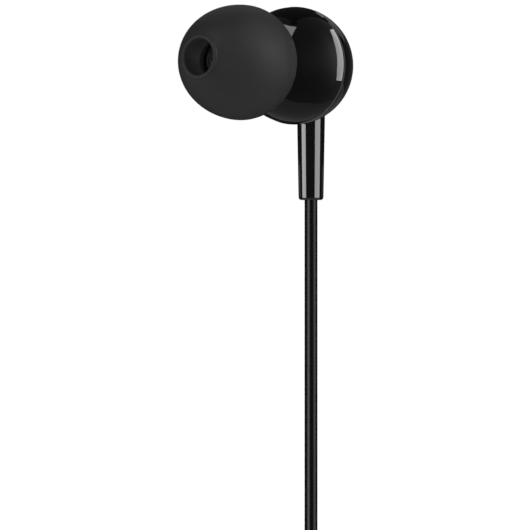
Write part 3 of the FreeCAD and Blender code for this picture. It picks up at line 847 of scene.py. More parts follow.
@dataclass(frozen=True)
class Lacquer(Finish):
    """Smooth lacquered or filmed surface of one colour with a slight mottle."""

    mottle: float
    ripple: float
    metal: float = 0.0
    spread: float = 0.1

    def pattern(self, paint: Paint) -> Pattern:
        """One noise tints it and another, of half its size, ripples it."""
        mottle = paint.noise(self.mottle, detail=3.0)
        ripple = paint.noise(self.mottle / 2, detail=2.0)
        fixed = {"Metallic": self.metal, "Coat Weight": 0.2}
        return mottle, ripple * self.spread + self.roughness, paint.relief(ripple, self.ripple), fixed


GLOSS_SHELL = GlossMoulding("gloss_shell", grey(0.0022), grey(0.0034), 0.020)
# Same black gloss plastic as the shell, but with lighter base colours: painted light that makes up for the dim light
# on the stem's middle.
STEM_GLOSS_WITH_PAINTED_LIGHT = GlossMoulding("gloss_stem", grey(0.0048), grey(0.0066), 0.05)
SILICONE = Grained("silicone", grey(0.0400), grey(0.0480), 0.46)
JACKET = Grained("jacket", grey(0.0030), grey(0.0050), 0.27, spread=0.12, grain=0.0030, grain_size=0.14,
                 grain_detail=4.0, drift_size=2.2, drift_detail=2.0, refraction=1.50)
SOFT_MOULDING = Moulding("soft_moulding", grey(0.006, 0.0002), grey(0.010, 0.0002), 0.36, 0.14, 0.004)
GRIP = Moulding("grip_moulding", grey(0.008, 0.0002), grey(0.013, 0.0002), 0.44, 0.10, 0.008)
TIE = Moulding("tie_coating", grey(0.011), grey(0.018), 0.5, 0.2, 0.01)
GOLD = TurnedMetal("plug_gold", (0.66, 0.43, 0.13), (0.86, 0.60, 0.23), 0.16)
INSULATOR = Lacquer("plug_insulator", grey(0.008), grey(0.014), 0.25, 0.4, 0.002)
NODE_FINISHES: dict[str, Finish] = {
    "cable_grommet": SOFT_MOULDING,
    "cable_knot": JACKET,
    "nozzle_mesh": TurnedMetal("mesh_steel", grey(0.10, 0.005), grey(0.16, 0.005), 0.4, 0.11, Axis.X),
    "nozzle_damper": Porous("damper_foam", grey(0.02), grey(0.07), 0.9),
    "seal_ring": Porous("seal_foam", grey(0.03), grey(0.09), 0.9, 0.16),
    "driver_grille": TurnedMetal("grille_steel", grey(0.42, 0.01), grey(0.56, 0.01), 0.26, 0.09, Axis.X),
    "driver_frame": TurnedMetal("frame_plating", grey(0.5), grey(0.6), 0.3, 0.2),
    "surround": Lacquer("surround_film", (0.42, 0.36, 0.24), (0.56, 0.49, 0.36), 0.24, 0.6, 0.003),
    "diaphragm": Lacquer("dome_film", (0.50, 0.45, 0.33), (0.63, 0.58, 0.46), 0.18, 0.7, 0.003),
    "top_plate": TurnedMetal("plate_steel", grey(0.5, 0.01), grey(0.6, 0.01), 0.3, 0.12, Axis.X),
    "magnet": Lacquer("magnet_nickel", (0.60, 0.59, 0.57), (0.70, 0.69, 0.67), 0.12, 0.9, 0.002, 1.0),
    "yoke": TurnedMetal("yoke_steel", (0.46, 0.47, 0.49), (0.58, 0.59, 0.60), 0.28, 0.08),
    "damping_disc": Porous("damping_paper", (0.48, 0.46, 0.40), (0.66, 0.63, 0.56), 0.9, 0.07, 0.01),
    "terminal_board": Lacquer("board_mask", (0.010, 0.085, 0.036), (0.016, 0.13, 0.058), 0.3, 0.3, 0.006),
    "solder_joints": Lacquer("solder_tin", (0.55, 0.55, 0.53), (0.70, 0.70, 0.68), 0.22, 0.25, 0.01, 1.0),
    "inner_wires": Lacquer("wire_enamel", (0.30, 0.04, 0.02), (0.45, 0.08, 0.04), 0.2, 0.4, 0.003),
}
# Dark copper for the painted shade in the coil's grooves, light copper for the wires' crests, and the roughness.
COPPER = ((0.18, 0.05, 0.02), (0.75, 0.33, 0.16), 0.34)


@dataclass(frozen=True)
class Dressed:
    """The finished surfaces of one earpiece."""

    tip: bpy.types.Object
    front: bpy.types.Object
    rear: bpy.types.Object
    disc: bpy.types.Object
    stem: bpy.types.Object

    @property
    def housing(self) -> list[bpy.types.Object]:
        """Both shells and the disc."""
        return [self.front, self.rear, self.disc]


@dataclass(frozen=True)
class Earpiece:
    """One earpiece: housing, tip and stem as turned surfaces, and the finishes of what is inside."""

    side: Side
    shell_sides: int = 192
    disc_sides: int = 128
    stem_sides: int = 128
    nozzle_sides: int = 96
    soft_crease: float = 40.0
    shell_r: float = 6.20
    wall: float = 0.80
    seam_ahead: float = 0.18
    seam_gap: float = 0.10
    edge_round: float = 0.06
    rear_proud: float = 0.06
    rear_drop: float = 0.03
    rear_chamfer: float = 0.09
    rear_bulge: float = 0.16
    seam_step: float = 0.35
    recess_r: float = 5.80
    recess_depth: float = 0.80
    rear_cut: float = 5.70
    flat_turn: float = 1.2
    flat_round: float = 0.25
    floor_r: float = 2.00
    inside_turns: tuple[float, float] = (-62.0, -4.0)
    disc_r: float = 2.00
    disc_fit: float = 0.05
    disc_seat: float = 0.35
    disc_proud: float = 0.10
    disc_round: float = 0.08
    disc_rim: float = 0.22
    disc_slope: float = 0.05
    disc_step: float = 0.04
    disc_hollow: float = 0.05
    nozzle_r: float = 2.05
    bore_r: float = 1.55
    mesh_r: float = 1.83
    mesh_depth: float = 0.30
    nozzle_end: float = 12.30
    nozzle_edge: float = 0.06
    shoulder_r: float = 3.00
    shoulder_rise: float = 0.25
    barb_rise: float = 0.35
    barb_length: float = 1.60
    barb_lead: float = 0.50
    tip_r: float = 6.07
    tip_dome: float = 7.41
    tip_middle: float = 0.31
    tip_front: float = 7.44
    tip_lift: float = 2.55
    tip_drop: float = 0.08
    mouth_r: float = 1.90
    lip: float = 0.34
    bead_r: float = 0.22
    bead_foot: float = 0.48
    bead_turns: tuple[float, float] = (180.0, 20.0)
    skirt: float = 2.37
    skirt_curve: float = 5.52
    rim_squash: float = 0.9
    rim_turns: tuple[float, float] = (-20.0, -170.0)
    tip_wall: float = 0.55
    core_wall: float = 0.60
    web: float = 5.20
    web_edge: float = 0.05
    base_gap: float = 0.10
    bore_fit: float = 0.05
    throat: float = 0.90
    lean_from_r: float = 3.10
    lean_within: float = 0.80
    lean_from_height: float = 4.90
    lean_rise: float = 1.50
    stem_top_r: float = 1.49
    stem_end_r: float = 1.33
    stem_round: float = 0.30
    stem_lower: float = 0.02
    stem_edge: float = 0.04
    stem_sunk: float = 0.04
    stem_rings: int = 26
    stem_first_ring: float = 0.04
    mouth_wall_r: float = 1.06
    mouth_depth: float = 1.20
    bush_room: float = 0.40
    lead_bore_r: float = 0.78

    def piece(self, part: str, surfaces: Sequence[Surface], finish: Finish, slot: str, body: str = "root",
              crease: float = 32.0) -> bpy.types.Object:
        """Make one piece of this earpiece that stands for the node of the same name.

        Args:
            part: The node's name without its side.
            surfaces: Surfaces of the right earpiece.
            finish: What it is made of.
            slot: The record's slot for that; not used.
            body: The body that it rides on.
            crease: Angle in degrees past which an edge is sharp.

        Returns:
            The piece's object.
        """
        node = f"{self.side.value}_{part}"
        return Piece(f"{node}_surface", surfaces, finish, slot, (node,), body, self.side, crease).make()

    def front_shell(self) -> bpy.types.Object:
        """Front half of the housing with its seam edge and recess, and the nozzle with its shoulder and barb.

        Returns:
            The shell's object.
        """
        r, inner, soft = self.shell_r, self.shell_r - self.wall, self.edge_round
        edge = self.seam_ahead + self.seam_gap / 2
        shelf = edge + self.recess_depth
        dome = Outline(0, r).arc((0, 0), (r, r), 90, angle_at(edge + soft, r), 90)
        dome.arc((math.sqrt(r ** 2 - edge ** 2) - soft, edge + soft), (soft, soft), 0, -90, 6)
        dome.line(self.recess_r, edge).line(self.recess_r, shelf).line(inner, shelf)
        dome.arc((0, 0), (inner, inner), angle_at(shelf, inner), 90, 40)
        nozzle = self.nozzle_section()
        return self.piece("front_shell", [
            turned(dome, FORWARD, self.shell_sides, ends=Ends.OPEN),
            turned(nozzle, LAYOUT.nozzle, self.nozzle_sides),
        ], GLOSS_SHELL, "gloss_shell")

    def nozzle_section(self) -> Outline:
        """Section of the nozzle: shoulder, neck, barb, mouth with the mesh's seat, and bore.

        Returns:
            The section, closed on itself.
        """
        root = self.shell_r - self.wall / 2
        shoulder = self.shell_r + self.shoulder_rise
        end, barb = self.nozzle_end, self.nozzle_end - self.barb_length
        barb_r, small = self.nozzle_r + self.barb_rise, self.nozzle_edge
        outline = Outline(self.bore_r, root).line(self.shoulder_r, root)
        outline.line(self.shoulder_r, shoulder - small).line(self.shoulder_r - small, shoulder)
        outline.line(self.nozzle_r + small, shoulder).line(self.nozzle_r, shoulder + small)
        outline.line(self.nozzle_r, barb).line(barb_r - small, barb).line(barb_r, barb + small)
        outline.line(barb_r, end - self.barb_lead).line(self.nozzle_r, end).line(self.mesh_r, end)
        return outline.line(self.mesh_r, end - self.mesh_depth).line(self.bore_r, end - self.mesh_depth)

    @property
    def rear_middle(self) -> Array:
        """Middle of the rear shell's sphere."""
        return np.array([0.0, 0.0, -self.rear_drop])

    def rear_shell(self) -> bpy.types.Object:
        """Rear half of the housing: an ellipse a little larger than the front, chamfered at the seam, and its flat.

        Returns:
            The shell's object.
        """
        r, inner = self.shell_r + self.rear_proud, self.shell_r - self.wall
        deep = r + self.rear_bulge
        edge = self.seam_ahead - self.seam_gap / 2
        seat_r, back = self.disc_r + self.disc_fit, -self.rear_cut
        flat_r = r * math.sqrt(1 - (self.rear_cut / deep) ** 2) - self.flat_round
        outline = Outline(inner, edge).line(inner + self.seam_step, edge).line(r - self.rear_chamfer, edge)
        outline.arc((0, 0), (r, deep), angle_at(edge - self.rear_chamfer, deep),
                    -angle_at(self.rear_cut, deep) + self.flat_turn, 60)
        outline.line(flat_r, back).line(seat_r, back).line(seat_r, back + self.disc_seat)
        outline.line(0, back + self.disc_seat).line(0, back + self.wall).line(self.floor_r, back + self.wall)
        outline.arc((0, 0), (inner, inner), *self.inside_turns, 30)
        shell = turned(outline, FORWARD, self.shell_sides, self.rear_middle)
        return self.piece("rear_shell", [shell], GLOSS_SHELL, "gloss_shell")

    def rear_disc(self) -> bpy.types.Object:
        """Blank inlay disc with a slightly hollow, spun face.

        Returns:
            The disc's object.
        """
        face = -self.rear_cut - self.disc_proud
        back = -self.rear_cut + self.disc_seat
        soft, rim = self.disc_round, self.disc_r - self.disc_rim
        outline = Outline(0, back).line(self.disc_r, back).line(self.disc_r, face + soft)
        outline.arc((self.disc_r - soft, face + soft), (soft, soft), 0, -90, 5)
        outline.line(rim, face).line(rim - self.disc_slope, face + self.disc_step)
        outline.line(0, face + self.disc_hollow, 12)
        middle = in_part(on_side(self.rear_middle + [0.0, self.rear_cut, 0.0], self.side))
        quarter = math.pi / 2
        finish = TurnedMetal(f"{self.side.value}_spun_disc", grey(0.035, 0.003), grey(0.055, 0.003), 0.26,
                             mark=0.0015, centre=tuple(middle.tolist()), marks=Marks.RINGS,
                             turn=(quarter, 0.0, 0.0) if self.side is Side.RIGHT else (0.0, quarter, 0.0))
        disc = turned(outline, FORWARD, self.disc_sides, self.rear_middle, Ends.OPEN)
        return self.piece("rear_disc", [disc], finish, "disc")

    def tip_section(self) -> Outline:
        """Section of the ear tip: bead round the mouth, dome, skirt, the skirt's inside, web, core and throat.

        Returns:
            The section, closed on itself.
        """
        bore = self.nozzle_r + self.barb_rise + self.bore_fit
        core = bore + self.core_wall
        base = self.shell_r + self.shoulder_rise + self.base_gap - LAYOUT.seat_distance
        throat = self.nozzle_end - LAYOUT.seat_distance + self.lip
        bead = (self.mouth_r + self.bead_r, self.tip_front - self.bead_r)
        foot_angle = math.degrees(math.acos((self.mouth_r + self.bead_foot) / self.tip_r))
        rim = (self.skirt + self.tip_middle) / self.skirt_curve
        rim_r, rim_angle = self.tip_r * math.sqrt(1 - rim ** 2), -math.degrees(math.asin(rim))
        inner, half = self.tip_r - self.tip_wall, self.tip_wall / 2
        middle = (0.0, self.tip_middle)
        inner_dome = (self.web - self.tip_middle) / math.sqrt(1 - (core / inner) ** 2)
        outline = Outline(self.mouth_r, bead[1] - self.lip)
        outline.arc(bead, (self.bead_r, self.bead_r), *self.bead_turns, 12)
        outline.arc(middle, (self.tip_r, self.tip_dome), foot_angle, 0, 90)
        outline.arc(middle, (self.tip_r, self.skirt_curve), 0, rim_angle, 26)
        outline.arc((rim_r - half, -self.skirt), (half, half * self.rim_squash), *self.rim_turns, 12)
        outline.arc(middle, (inner, self.skirt_curve - half), rim_angle, 0, 16)
        outline.arc(middle, (inner, inner_dome), 0, math.degrees(math.acos(core / inner)), 30)
        outline.line(core, self.web - self.web_edge).line(core, base, 4).line(bore, base).line(bore, throat, 4)
        return outline.line(self.mouth_r, throat + self.throat, 4)

    def ear_tip(self) -> bpy.types.Object:
        """Silicone tip: its core sits straight on the nozzle, and its soft outside leans up a little.

        The leaning share of each ring grows from nothing at the core to all of it at the mouth and skirt.

        Returns:
            The tip's object.
        """
        section = self.tip_section()
        lift = math.radians(self.tip_lift)
        lean = LAYOUT.nozzle * math.cos(lift) + [0.0, 0.0, math.sin(lift)]
        straight = turned(section, LAYOUT.nozzle, self.shell_sides, LAYOUT.seat)
        leaning = turned(section, lean, self.shell_sides, LAYOUT.seat - [0.0, 0.0, self.tip_drop])
        radius, height = section.points().T
        aside = (radius - self.lean_from_r) / self.lean_within
        above = (height - self.lean_from_height) / self.lean_rise
        share = np.clip(np.maximum(aside, above), 0, 1)[:, None, None]
        tip = Surface(straight.grid * (1 - share) + leaning.grid * share)
        return self.piece("ear_tip", [tip], SILICONE, "silicone", f"{self.side.value}_tip", self.soft_crease)

    def stem(self) -> bpy.types.Object:
        """Tapered stem: rings from its rounded mouth up to where each line meets the round housing.

        The top ring's height is minus the root of the housing's radius squared less the line's distance from the
        housing's upright axis squared.

        Returns:
            The stem's object.
        """
        turn = np.linspace(0, 2 * math.pi, self.stem_sides, endpoint=False)
        end = -LAYOUT.stem_end - self.stem_lower
        lean = (self.stem_top_r - self.stem_end_r) / (LAYOUT.stem_end - self.shell_r + self.wall)
        middle = (self.stem_end_r - self.stem_round, end + self.stem_round)
        low = Outline(self.lead_bore_r, end + self.mouth_depth).line(self.mouth_wall_r, end + self.mouth_depth)
        low.line(self.mouth_wall_r, end + self.stem_edge).line(self.mouth_wall_r + self.stem_edge, end)
        low.line(middle[0], end).arc(middle, (self.stem_round, self.stem_round), -90, -lean, 10)
        section = low.points()
        top_x, top_y = self.stem_top_r * np.cos(turn), self.stem_top_r * np.sin(turn) + LAYOUT.stem_back
        top = -np.sqrt(np.clip((self.shell_r - self.stem_sunk) ** 2 - top_x ** 2 - top_y ** 2, 0, None))
        foot = section[-1, 1]
        share = np.linspace(self.stem_first_ring, 1, self.stem_rings)[:, None]
        wall_z = foot + share * (top - foot)
        wall_r = self.stem_end_r + lean * (wall_z + LAYOUT.stem_end)
        inside_z = np.stack([top, np.full(len(turn), end + self.mouth_depth + self.bush_room)])
        inside_r = np.full((2, len(turn)), self.lead_bore_r)
        radius = np.concatenate([np.repeat(section[:, :1], len(turn), 1), wall_r, inside_r])
        height = np.concatenate([np.repeat(section[:, 1:], len(turn), 1), wall_z, inside_z])
        grid = np.stack([radius * np.cos(turn), radius * np.sin(turn) + LAYOUT.stem_back, height], -1)
        return self.piece("stem_sleeve", [Surface(grid)], STEM_GLOSS_WITH_PAINTED_LIGHT, "gloss_stem", crease=self.soft_crease)

    def build(self, nodes: Mapping[str, bpy.types.Object]) -> Dressed:
        """Give every node that stays its finish, and make every surface.

        Args:
            nodes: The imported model's nodes by name.

        Returns:
            The surfaces' objects.
        """
        for part, finish in NODE_FINISHES.items():
            finish.put_on(nodes[f"{self.side.value}_{part}"])
        axis = Axis.Y if self.side is Side.RIGHT else Axis.X
        Winding(f"{self.side.value}_coil_wire", *COPPER, axis).put_on(nodes[f"{self.side.value}_voice_coil"])
        return Dressed(self.ear_tip(), self.front_shell(), self.rear_shell(), self.rear_disc(), self.stem())


@dataclass(frozen=True)
class Leads:
    """The three leads, each one open spline: its loose stretches and the turns of its hank."""

    side_points: int = 4
    end_points: int = 6
    eye_above: float = 1.00
    eye_middle: float = 4.50
    eye_side: float = 0.20
    limb_depth: float = 10.00
    limb_side: float = 0.75
    straight: float = 5.60
    main_eye_above: float = 1.50
    main_eye_side: float = 0.30
    main_limb_side: float = 0.95
    splitter_hold: float = 1.00
    splitter_above: float = 1.50
    bend_turn: float = 2.8
    bend_out: float = 0.10
    bend_share: float = 0.10
    bend_drop: float = 2.50
    right_first: int = 18
    left_first: int = 8
    thin_turns: int = 3
    thin_last: int = 14
    main_ends: int = 2
    main_places: tuple[tuple[int, int], ...] = (
        (2, 0), (2, 1), (2, 2), (1, 2), (1, 1), (1, 0), (0, 0), (0, 1), (0, 2))
    tube_rings: int = 7

    def loop(self, fold: float, diameter: float) -> tuple[float, float, float]:
        """Measure a loop's hollow sides, which touch its two end circles and leave the lead's room at the waist.

        Args:
            fold: Radius of the end circles.
            diameter: Diameter of the lead.

        Returns:
            Radius of a side, place of its middle, and half of its angle.
        """
        half = LAYOUT.hank_half
        waist = diameter / 2 + LAYOUT.waist_slack
        side_r = (waist ** 2 + half ** 2 - fold ** 2) / (2 * (fold - waist))
        return side_r, waist + side_r, math.atan2(half, waist + side_r)

    def turn(self, fold: float, diameter: float) -> Array:
        """Directions of one turn's points: centre x, centre z, unit x, unit z, radius and growth per outward step.

        A turn runs down the right side, round the bottom, up the left side and round the top. Each point lies
        where the tangents of its arc meet: the arc's radius divided by the cosine of half a step away.

        Args:
            fold: Radius of the innermost end circles.
            diameter: Diameter of the lead.

        Returns:
            One row for each point: bottom, left side, top, right side.
        """
        side_r, side_x, lean = self.loop(fold, diameter)
        half = LAYOUT.hank_half
        end_step = (math.pi + 2 * lean) / self.end_points
        side_step = 2 * lean / self.side_points
        ends = lean - (np.arange(self.end_points) + 0.5) * end_step
        sides = -lean + (np.arange(self.side_points) + 0.5) * side_step
        far, near = 1 / math.cos(end_step / 2), 1 / math.cos(side_step / 2)

        def rows(centre: tuple[float, float], angle: Array, radius: float, reach: float, growth: float) -> Array:
            """Rows of an arc's points."""
            fixed = [np.full(len(angle), value) for value in (radius * reach, growth * reach)]
            middle = [np.full(len(angle), value) for value in centre]
            return np.stack([*middle, np.cos(angle), np.sin(angle), *fixed], -1)

        return np.concatenate([
            rows((0, -half), ends, fold, far, 1.0),
            rows((-side_x, 0), sides, side_r, near, -1.0),
            rows((0, half), math.pi + ends, fold, far, 1.0),
            rows((side_x, 0), math.pi + sides, side_r, near, -1.0),
        ])

    def wound(self, table: Array, index: Array, outward: Array, depth: Array) -> Array:
        """Points of a hank: each table row's centre plus its unit vector times its radius, moved outward.

        Args:
            table: Rows of one turn.
            index: Row of each point, counted on past one turn.
            outward: How far outside the innermost turn each point lies.
            depth: Each point's y.

        Returns:
            Points in the right housing's frame.
        """
        row = table[index % len(table)]
        radius = row[:, 4] + row[:, 5] * outward
        return np.stack([row[:, 0] + row[:, 2] * radius, depth, LAYOUT.waist + row[:, 1] + row[:, 3] * radius], -1)

    @staticmethod
    def level(x: float, y: float, z: float) -> Array:
        """A point at a height above the hank's waist."""
        return np.array([x, y, LAYOUT.waist + z])

    def eye(self, sign: float, column: float) -> Array:
        """Points of a thin lead through the hank's eye.

        Args:
            sign: 1 for the right lead and -1 for the left.
            column: Depth of the lead's turns.

        Returns:
            Four points, from the loose stretch to the first turn.
        """
        half = LAYOUT.hank_half
        return np.array([
            self.level(0, LAYOUT.stem_back, sign * (half + self.eye_above + self.straight)),
            self.level(0, LAYOUT.stem_back, sign * (half + self.eye_above)),
            self.level(sign * self.eye_side, (LAYOUT.stem_back + column) / 2, sign * (half - self.eye_middle)),
            self.level(sign * self.limb_side, column, sign * (half - self.limb_depth)),
        ])

    def into_splitter(self, widest: float, column: float, depth: float, sign: float) -> Array:
        """Points from a turn's widest place to the splitter.

        Args:
            widest: Distance of that place from the hank's middle.
            column: Depth of the lead's turns.
            depth: Depth at which the lead enters the splitter.
            sign: 1 above the splitter and -1 below it.

        Returns:
            Four points, the last one inside the splitter.
        """
        half, out = LAYOUT.hank_half, LAYOUT.splitter_out
        corner = widest * math.tan(math.radians(self.bend_turn))
        bend_y = column * (1 - self.bend_share) + depth * self.bend_share
        return np.array([
            self.level(widest, column, sign * (half + corner)),
            self.level(widest + self.bend_out, bend_y, sign * (half - self.bend_drop)),
            self.level(out, depth, sign * (LAYOUT.splitter_length / 2 + self.splitter_above)),
            self.level(out, depth, sign * (LAYOUT.splitter_length / 2 - self.splitter_hold)),
        ])

    def branch(self, side: Side) -> Array:
        """Points of a thin lead from its stem, through the eye, round its turns and to the splitter.

        Each point of the turns lies further out by an even step, so that the turns lie side by side.

        Args:
            side: The earpiece that the lead comes from.

        Returns:
            Points in the right housing's frame.
        """
        right = side is Side.RIGHT
        sign = 1 if right else -1
        column = LAYOUT.right_column if right else LAYOUT.left_column
        levels = LAYOUT.right_levels if right else LAYOUT.left_levels
        start = -LAYOUT.stem_end if right else LAYOUT.left_stem_end
        table = self.turn(LAYOUT.fold_lead, LAYOUT.lead_d)
        first = self.right_first if right else self.left_first
        last = self.thin_turns * len(table) + self.thin_last
        index = np.arange(first, last + 1)
        grown = (index - first + 1) / (last - first + 2)
        points = self.wound(table, index, grown * levels * LAYOUT.lead_pitch, np.full(len(index), column))
        widest = LAYOUT.fold_lead + levels * LAYOUT.lead_pitch
        return np.concatenate([
            [[0, LAYOUT.stem_back, start]], self.eye(sign, column), points,
            self.into_splitter(widest, column, LAYOUT.left_column + sign * LAYOUT.lead_pitch / 2, 1),
        ])

    def trunk(self) -> Array:
        """Points of the main lead: splitter, nine turns in three levels of three, the lower eye and the plug.

        A turn passes to its neighbour's place along its first arc: three times the share squared less twice its cube.

        Returns:
            Points in the right housing's frame.
        """
        table = self.turn(LAYOUT.fold_main, LAYOUT.main_d)
        pitch = LAYOUT.main_pitch
        places = np.array([self.main_places[0], *self.main_places], float)
        index = np.arange(self.main_ends, len(self.main_places) * len(table) - self.main_ends)
        share = np.clip(((index % len(table)) + 0.5) / self.end_points, 0, 1)
        ease = (share ** 2 * (3 - 2 * share))[:, None]
        number = index // len(table)
        place = places[number] * (1 - ease) + places[number + 1] * ease
        depth = LAYOUT.main_back - (place[:, 1] + 0.5) * pitch
        turns = self.wound(table, index, place[:, 0] * pitch, depth)
        column = LAYOUT.main_front + pitch / 2
        bottom = -LAYOUT.hank_half
        widest = LAYOUT.fold_main + (LAYOUT.main_levels - 1) * pitch
        start = self.into_splitter(widest, LAYOUT.main_back - pitch / 2, LAYOUT.left_column, -1)[::-1]
        tail = np.array([
            self.level(self.main_limb_side, column, bottom + self.limb_depth),
            self.level(self.main_eye_side, (LAYOUT.plug_line + column) / 2, bottom + self.eye_middle),
            self.level(0, LAYOUT.plug_line, bottom - self.main_eye_above),
            np.array([0, LAYOUT.plug_line, LAYOUT.plug_top - LAYOUT.relief_length / 2]),
        ])
        return np.concatenate([start, turns, tail])

    def spline(self, name: str, points: Array, diameter: float) -> bpy.types.Object:
        """Make one lead as a smooth tube about a spline of order three with the route's points as its controls.

        Args:
            name: Name of the lead.
            points: The route's points in the right housing's frame.
            diameter: Diameter of the lead in millimetres.

        Returns:
            The lead's object.
        """
        curve = bpy.data.curves.new(name, "CURVE")
        curve.dimensions = "3D"
        curve.bevel_depth = diameter / 2 * MILLIMETRE
        curve.bevel_resolution = self.tube_rings
        curve.resolution_u = self.tube_rings
        curve.use_fill_caps = True
        line = curve.splines.new("NURBS")
        line.points.add(len(points) - 1)
        places = np.concatenate([in_part(points), np.ones((len(points), 1))], axis=1)
        line.points.foreach_set("co", places.ravel().astype(np.float32))
        line.order_u = 3
        line.use_endpoint_u = True
        line.use_smooth = True
        lead = placed(name, curve)
        JACKET.put_on(lead)
        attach(lead, "root")
        return lead

    @staticmethod
    def length_of(lead: bpy.types.Object) -> float:
        """Measure a lead's own line on a copy of its curve with no bevel.

        Args:
            lead: The lead.

        Returns:
            Its length in metres.
        """
        bare = lead.copy()
        bare.data = lead.data.copy()
        bare.data.bevel_depth = 0.0
        bare.data.use_fill_caps = False
        line = bpy.data.meshes.new_from_object(bare)
        places = np.zeros(len(line.vertices) * 3)
        line.vertices.foreach_get("co", places)
        bpy.data.meshes.remove(line)
        bpy.data.objects.remove(bare)
        return float(np.linalg.norm(np.diff(places.reshape(-1, 3), axis=0), axis=1).sum())

    def build(self) -> dict[str, bpy.types.Object]:
        """Returns:
            The leads by the names of the nodes that they replace.
        """
        routes = {"right_lead": (self.branch(Side.RIGHT), LAYOUT.lead_d),
                  "left_lead": (self.branch(Side.LEFT), LAYOUT.lead_d), "main_lead": (self.trunk(), LAYOUT.main_d)}
        made = {name: self.spline(f"{name}_cord", *route) for name, route in routes.items()}
        for name, lead in made.items():
            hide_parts(name, name.replace("_lead", "_hank"))
            LOG.info("%s: %.3f m", name, self.length_of(lead))
        return made


@dataclass(frozen=True)
class Splitter:
    """Small moulded Y piece where the three leads meet."""

    width: float = 4.80
    thick: float = 3.00
    corner: float = 0.90
    corner_least: float = 0.05
    corner_more: float = 0.25
    end_rings: int = 9
    middle_rings: int = 20

    def build(self) -> bpy.types.Object:
        """Carry a rounded rectangle upright, drawn in along a quarter circle at both ends.

        Returns:
            The splitter's object.
        """
        angle = np.radians(np.linspace(0, 90, self.end_rings))
        half = LAYOUT.splitter_length / 2
        drawn, risen = self.corner * (1 - np.sin(angle)), self.corner * (1 - np.cos(angle))
        inset = np.concatenate([drawn, np.zeros(self.middle_rings), drawn[::-1]])
        middle = np.linspace(-half + self.corner, half - self.corner, self.middle_rings + 2)[1:-1]
        rise = np.concatenate([-half + risen, middle, half - risen[::-1]])
        sections = np.array([
            rounded_rectangle(self.thick - 2 * draw, self.width - 2 * draw,
                              max(self.corner - draw, self.corner_least) + self.corner_more) for draw in inset])
        path = np.stack([np.full(len(rise), LAYOUT.splitter_out), np.full(len(rise), LAYOUT.left_column),
                         LAYOUT.waist + rise], -1)
        across = np.broadcast_to(np.array([1.0, 0, 0]), path.shape)
        beside = np.broadcast_to(np.array([0, 1.0, 0]), path.shape)
        return Piece("splitter_block", [swept(path, across, beside, sections)], SOFT_MOULDING, "soft_moulding",
                     ("splitter",)).make()


@dataclass(frozen=True)
class Tie:
    """Coated wire tie round the folded leads, with its two ends twisted together."""

    width: float = 3.00
    thick: float = 0.50
    gap: float = 0.12
    corner: float = 0.75
    edge: float = 0.16
    twist_side: float = 2.85
    twist_line: Triple = (-0.55, -0.45, -0.75)
    twist_length: float = 7.00
    twist_turns: float = 3.5
    twist_rings: int = 90
    strand_r: float = 0.34
    strand_sides: int = 14

    def build(self) -> bpy.types.Object:
        """Carry a flat rounded strip round a rounded rectangle about the hank's waist.

        Returns:
            The tie's object, its twisted ends with it.
        """
        outer_x = LAYOUT.lead_d + LAYOUT.waist_slack + LAYOUT.left_levels * LAYOUT.lead_pitch
        front = LAYOUT.main_front - self.gap - self.thick
        back = LAYOUT.hank_back + self.gap + self.thick
        ring = rounded_rectangle(2 * (outer_x + self.gap + self.thick), back - front, self.corner, 10)
        steps = np.roll(ring, -1, 0) - np.roll(ring, 1, 0)
        steps /= np.linalg.norm(steps, axis=1)[:, None]
        outward = np.stack([steps[:, 1], -steps[:, 0], np.zeros(len(ring))], -1)
        path = np.stack([ring[:, 0], ring[:, 1] + (front + back) / 2, np.full(len(ring), LAYOUT.waist)], -1)
        strip = rounded_rectangle(self.thick, self.width, self.edge, 4) - [self.thick / 2, 0]
        band = swept(path, outward, np.broadcast_to(UPWARD, path.shape), strip, Ends.JOINED)
        start = np.array([-self.twist_side, front + self.thick / 2, LAYOUT.waist])
        strands = [self.strand(start, phase) for phase in (0.0, math.pi)]
        return Piece("tie_band", [band, *strands], TIE, "tie", ("wire_tie",)).make()

    def strand(self, start: Array, phase: float) -> Surface:
        """One of the twisted ends: a circle carried along a helix, whose turn grows evenly with its length.

        Args:
            start: Where the twist leaves the band.
            phase: The strand's turn at its start.

        Returns:
            The strand's surface.
        """
        axis = np.array(self.twist_line) / np.linalg.norm(self.twist_line)
        along = np.linspace(0, 1, self.twist_rings)
        circle = np.linspace(0, 2 * math.pi, self.strand_sides, endpoint=False)
        section = self.strand_r * np.stack([np.cos(circle), np.sin(circle)], -1)
        turn = phase + 2 * math.pi * self.twist_turns * along
        spoke = np.stack([np.cos(turn), np.sin(turn), np.zeros(len(turn))], -1)
        path = aimed(self.strand_r * spoke + along[:, None] * self.twist_length * UPWARD, axis, start)
        tangent = np.gradient(path, axis=0)
        tangent /= np.linalg.norm(tangent, axis=1)[:, None]
        side = np.cross(tangent, aimed(spoke, axis))
        side /= np.linalg.norm(side, axis=1)[:, None]
        return swept(path, np.cross(side, tangent), side, section)


@dataclass(frozen=True)
class Grooves:
    """Even grooves round a turned piece: their number and depth, and between which shares of its length they lie."""

    count: float
    depth: float
    sharpness: float
    first: float
    last: float

    def cut(self, share: Array) -> Array:
        """Depth at each share of the length: a cosine steepened about its crests and kept between nought and one."""
        crest = np.clip(np.cos(2 * math.pi * share * self.count) * self.sharpness - (self.sharpness - 1), 0, 1)
        return self.depth * crest * (share > self.first) * (share < self.last)


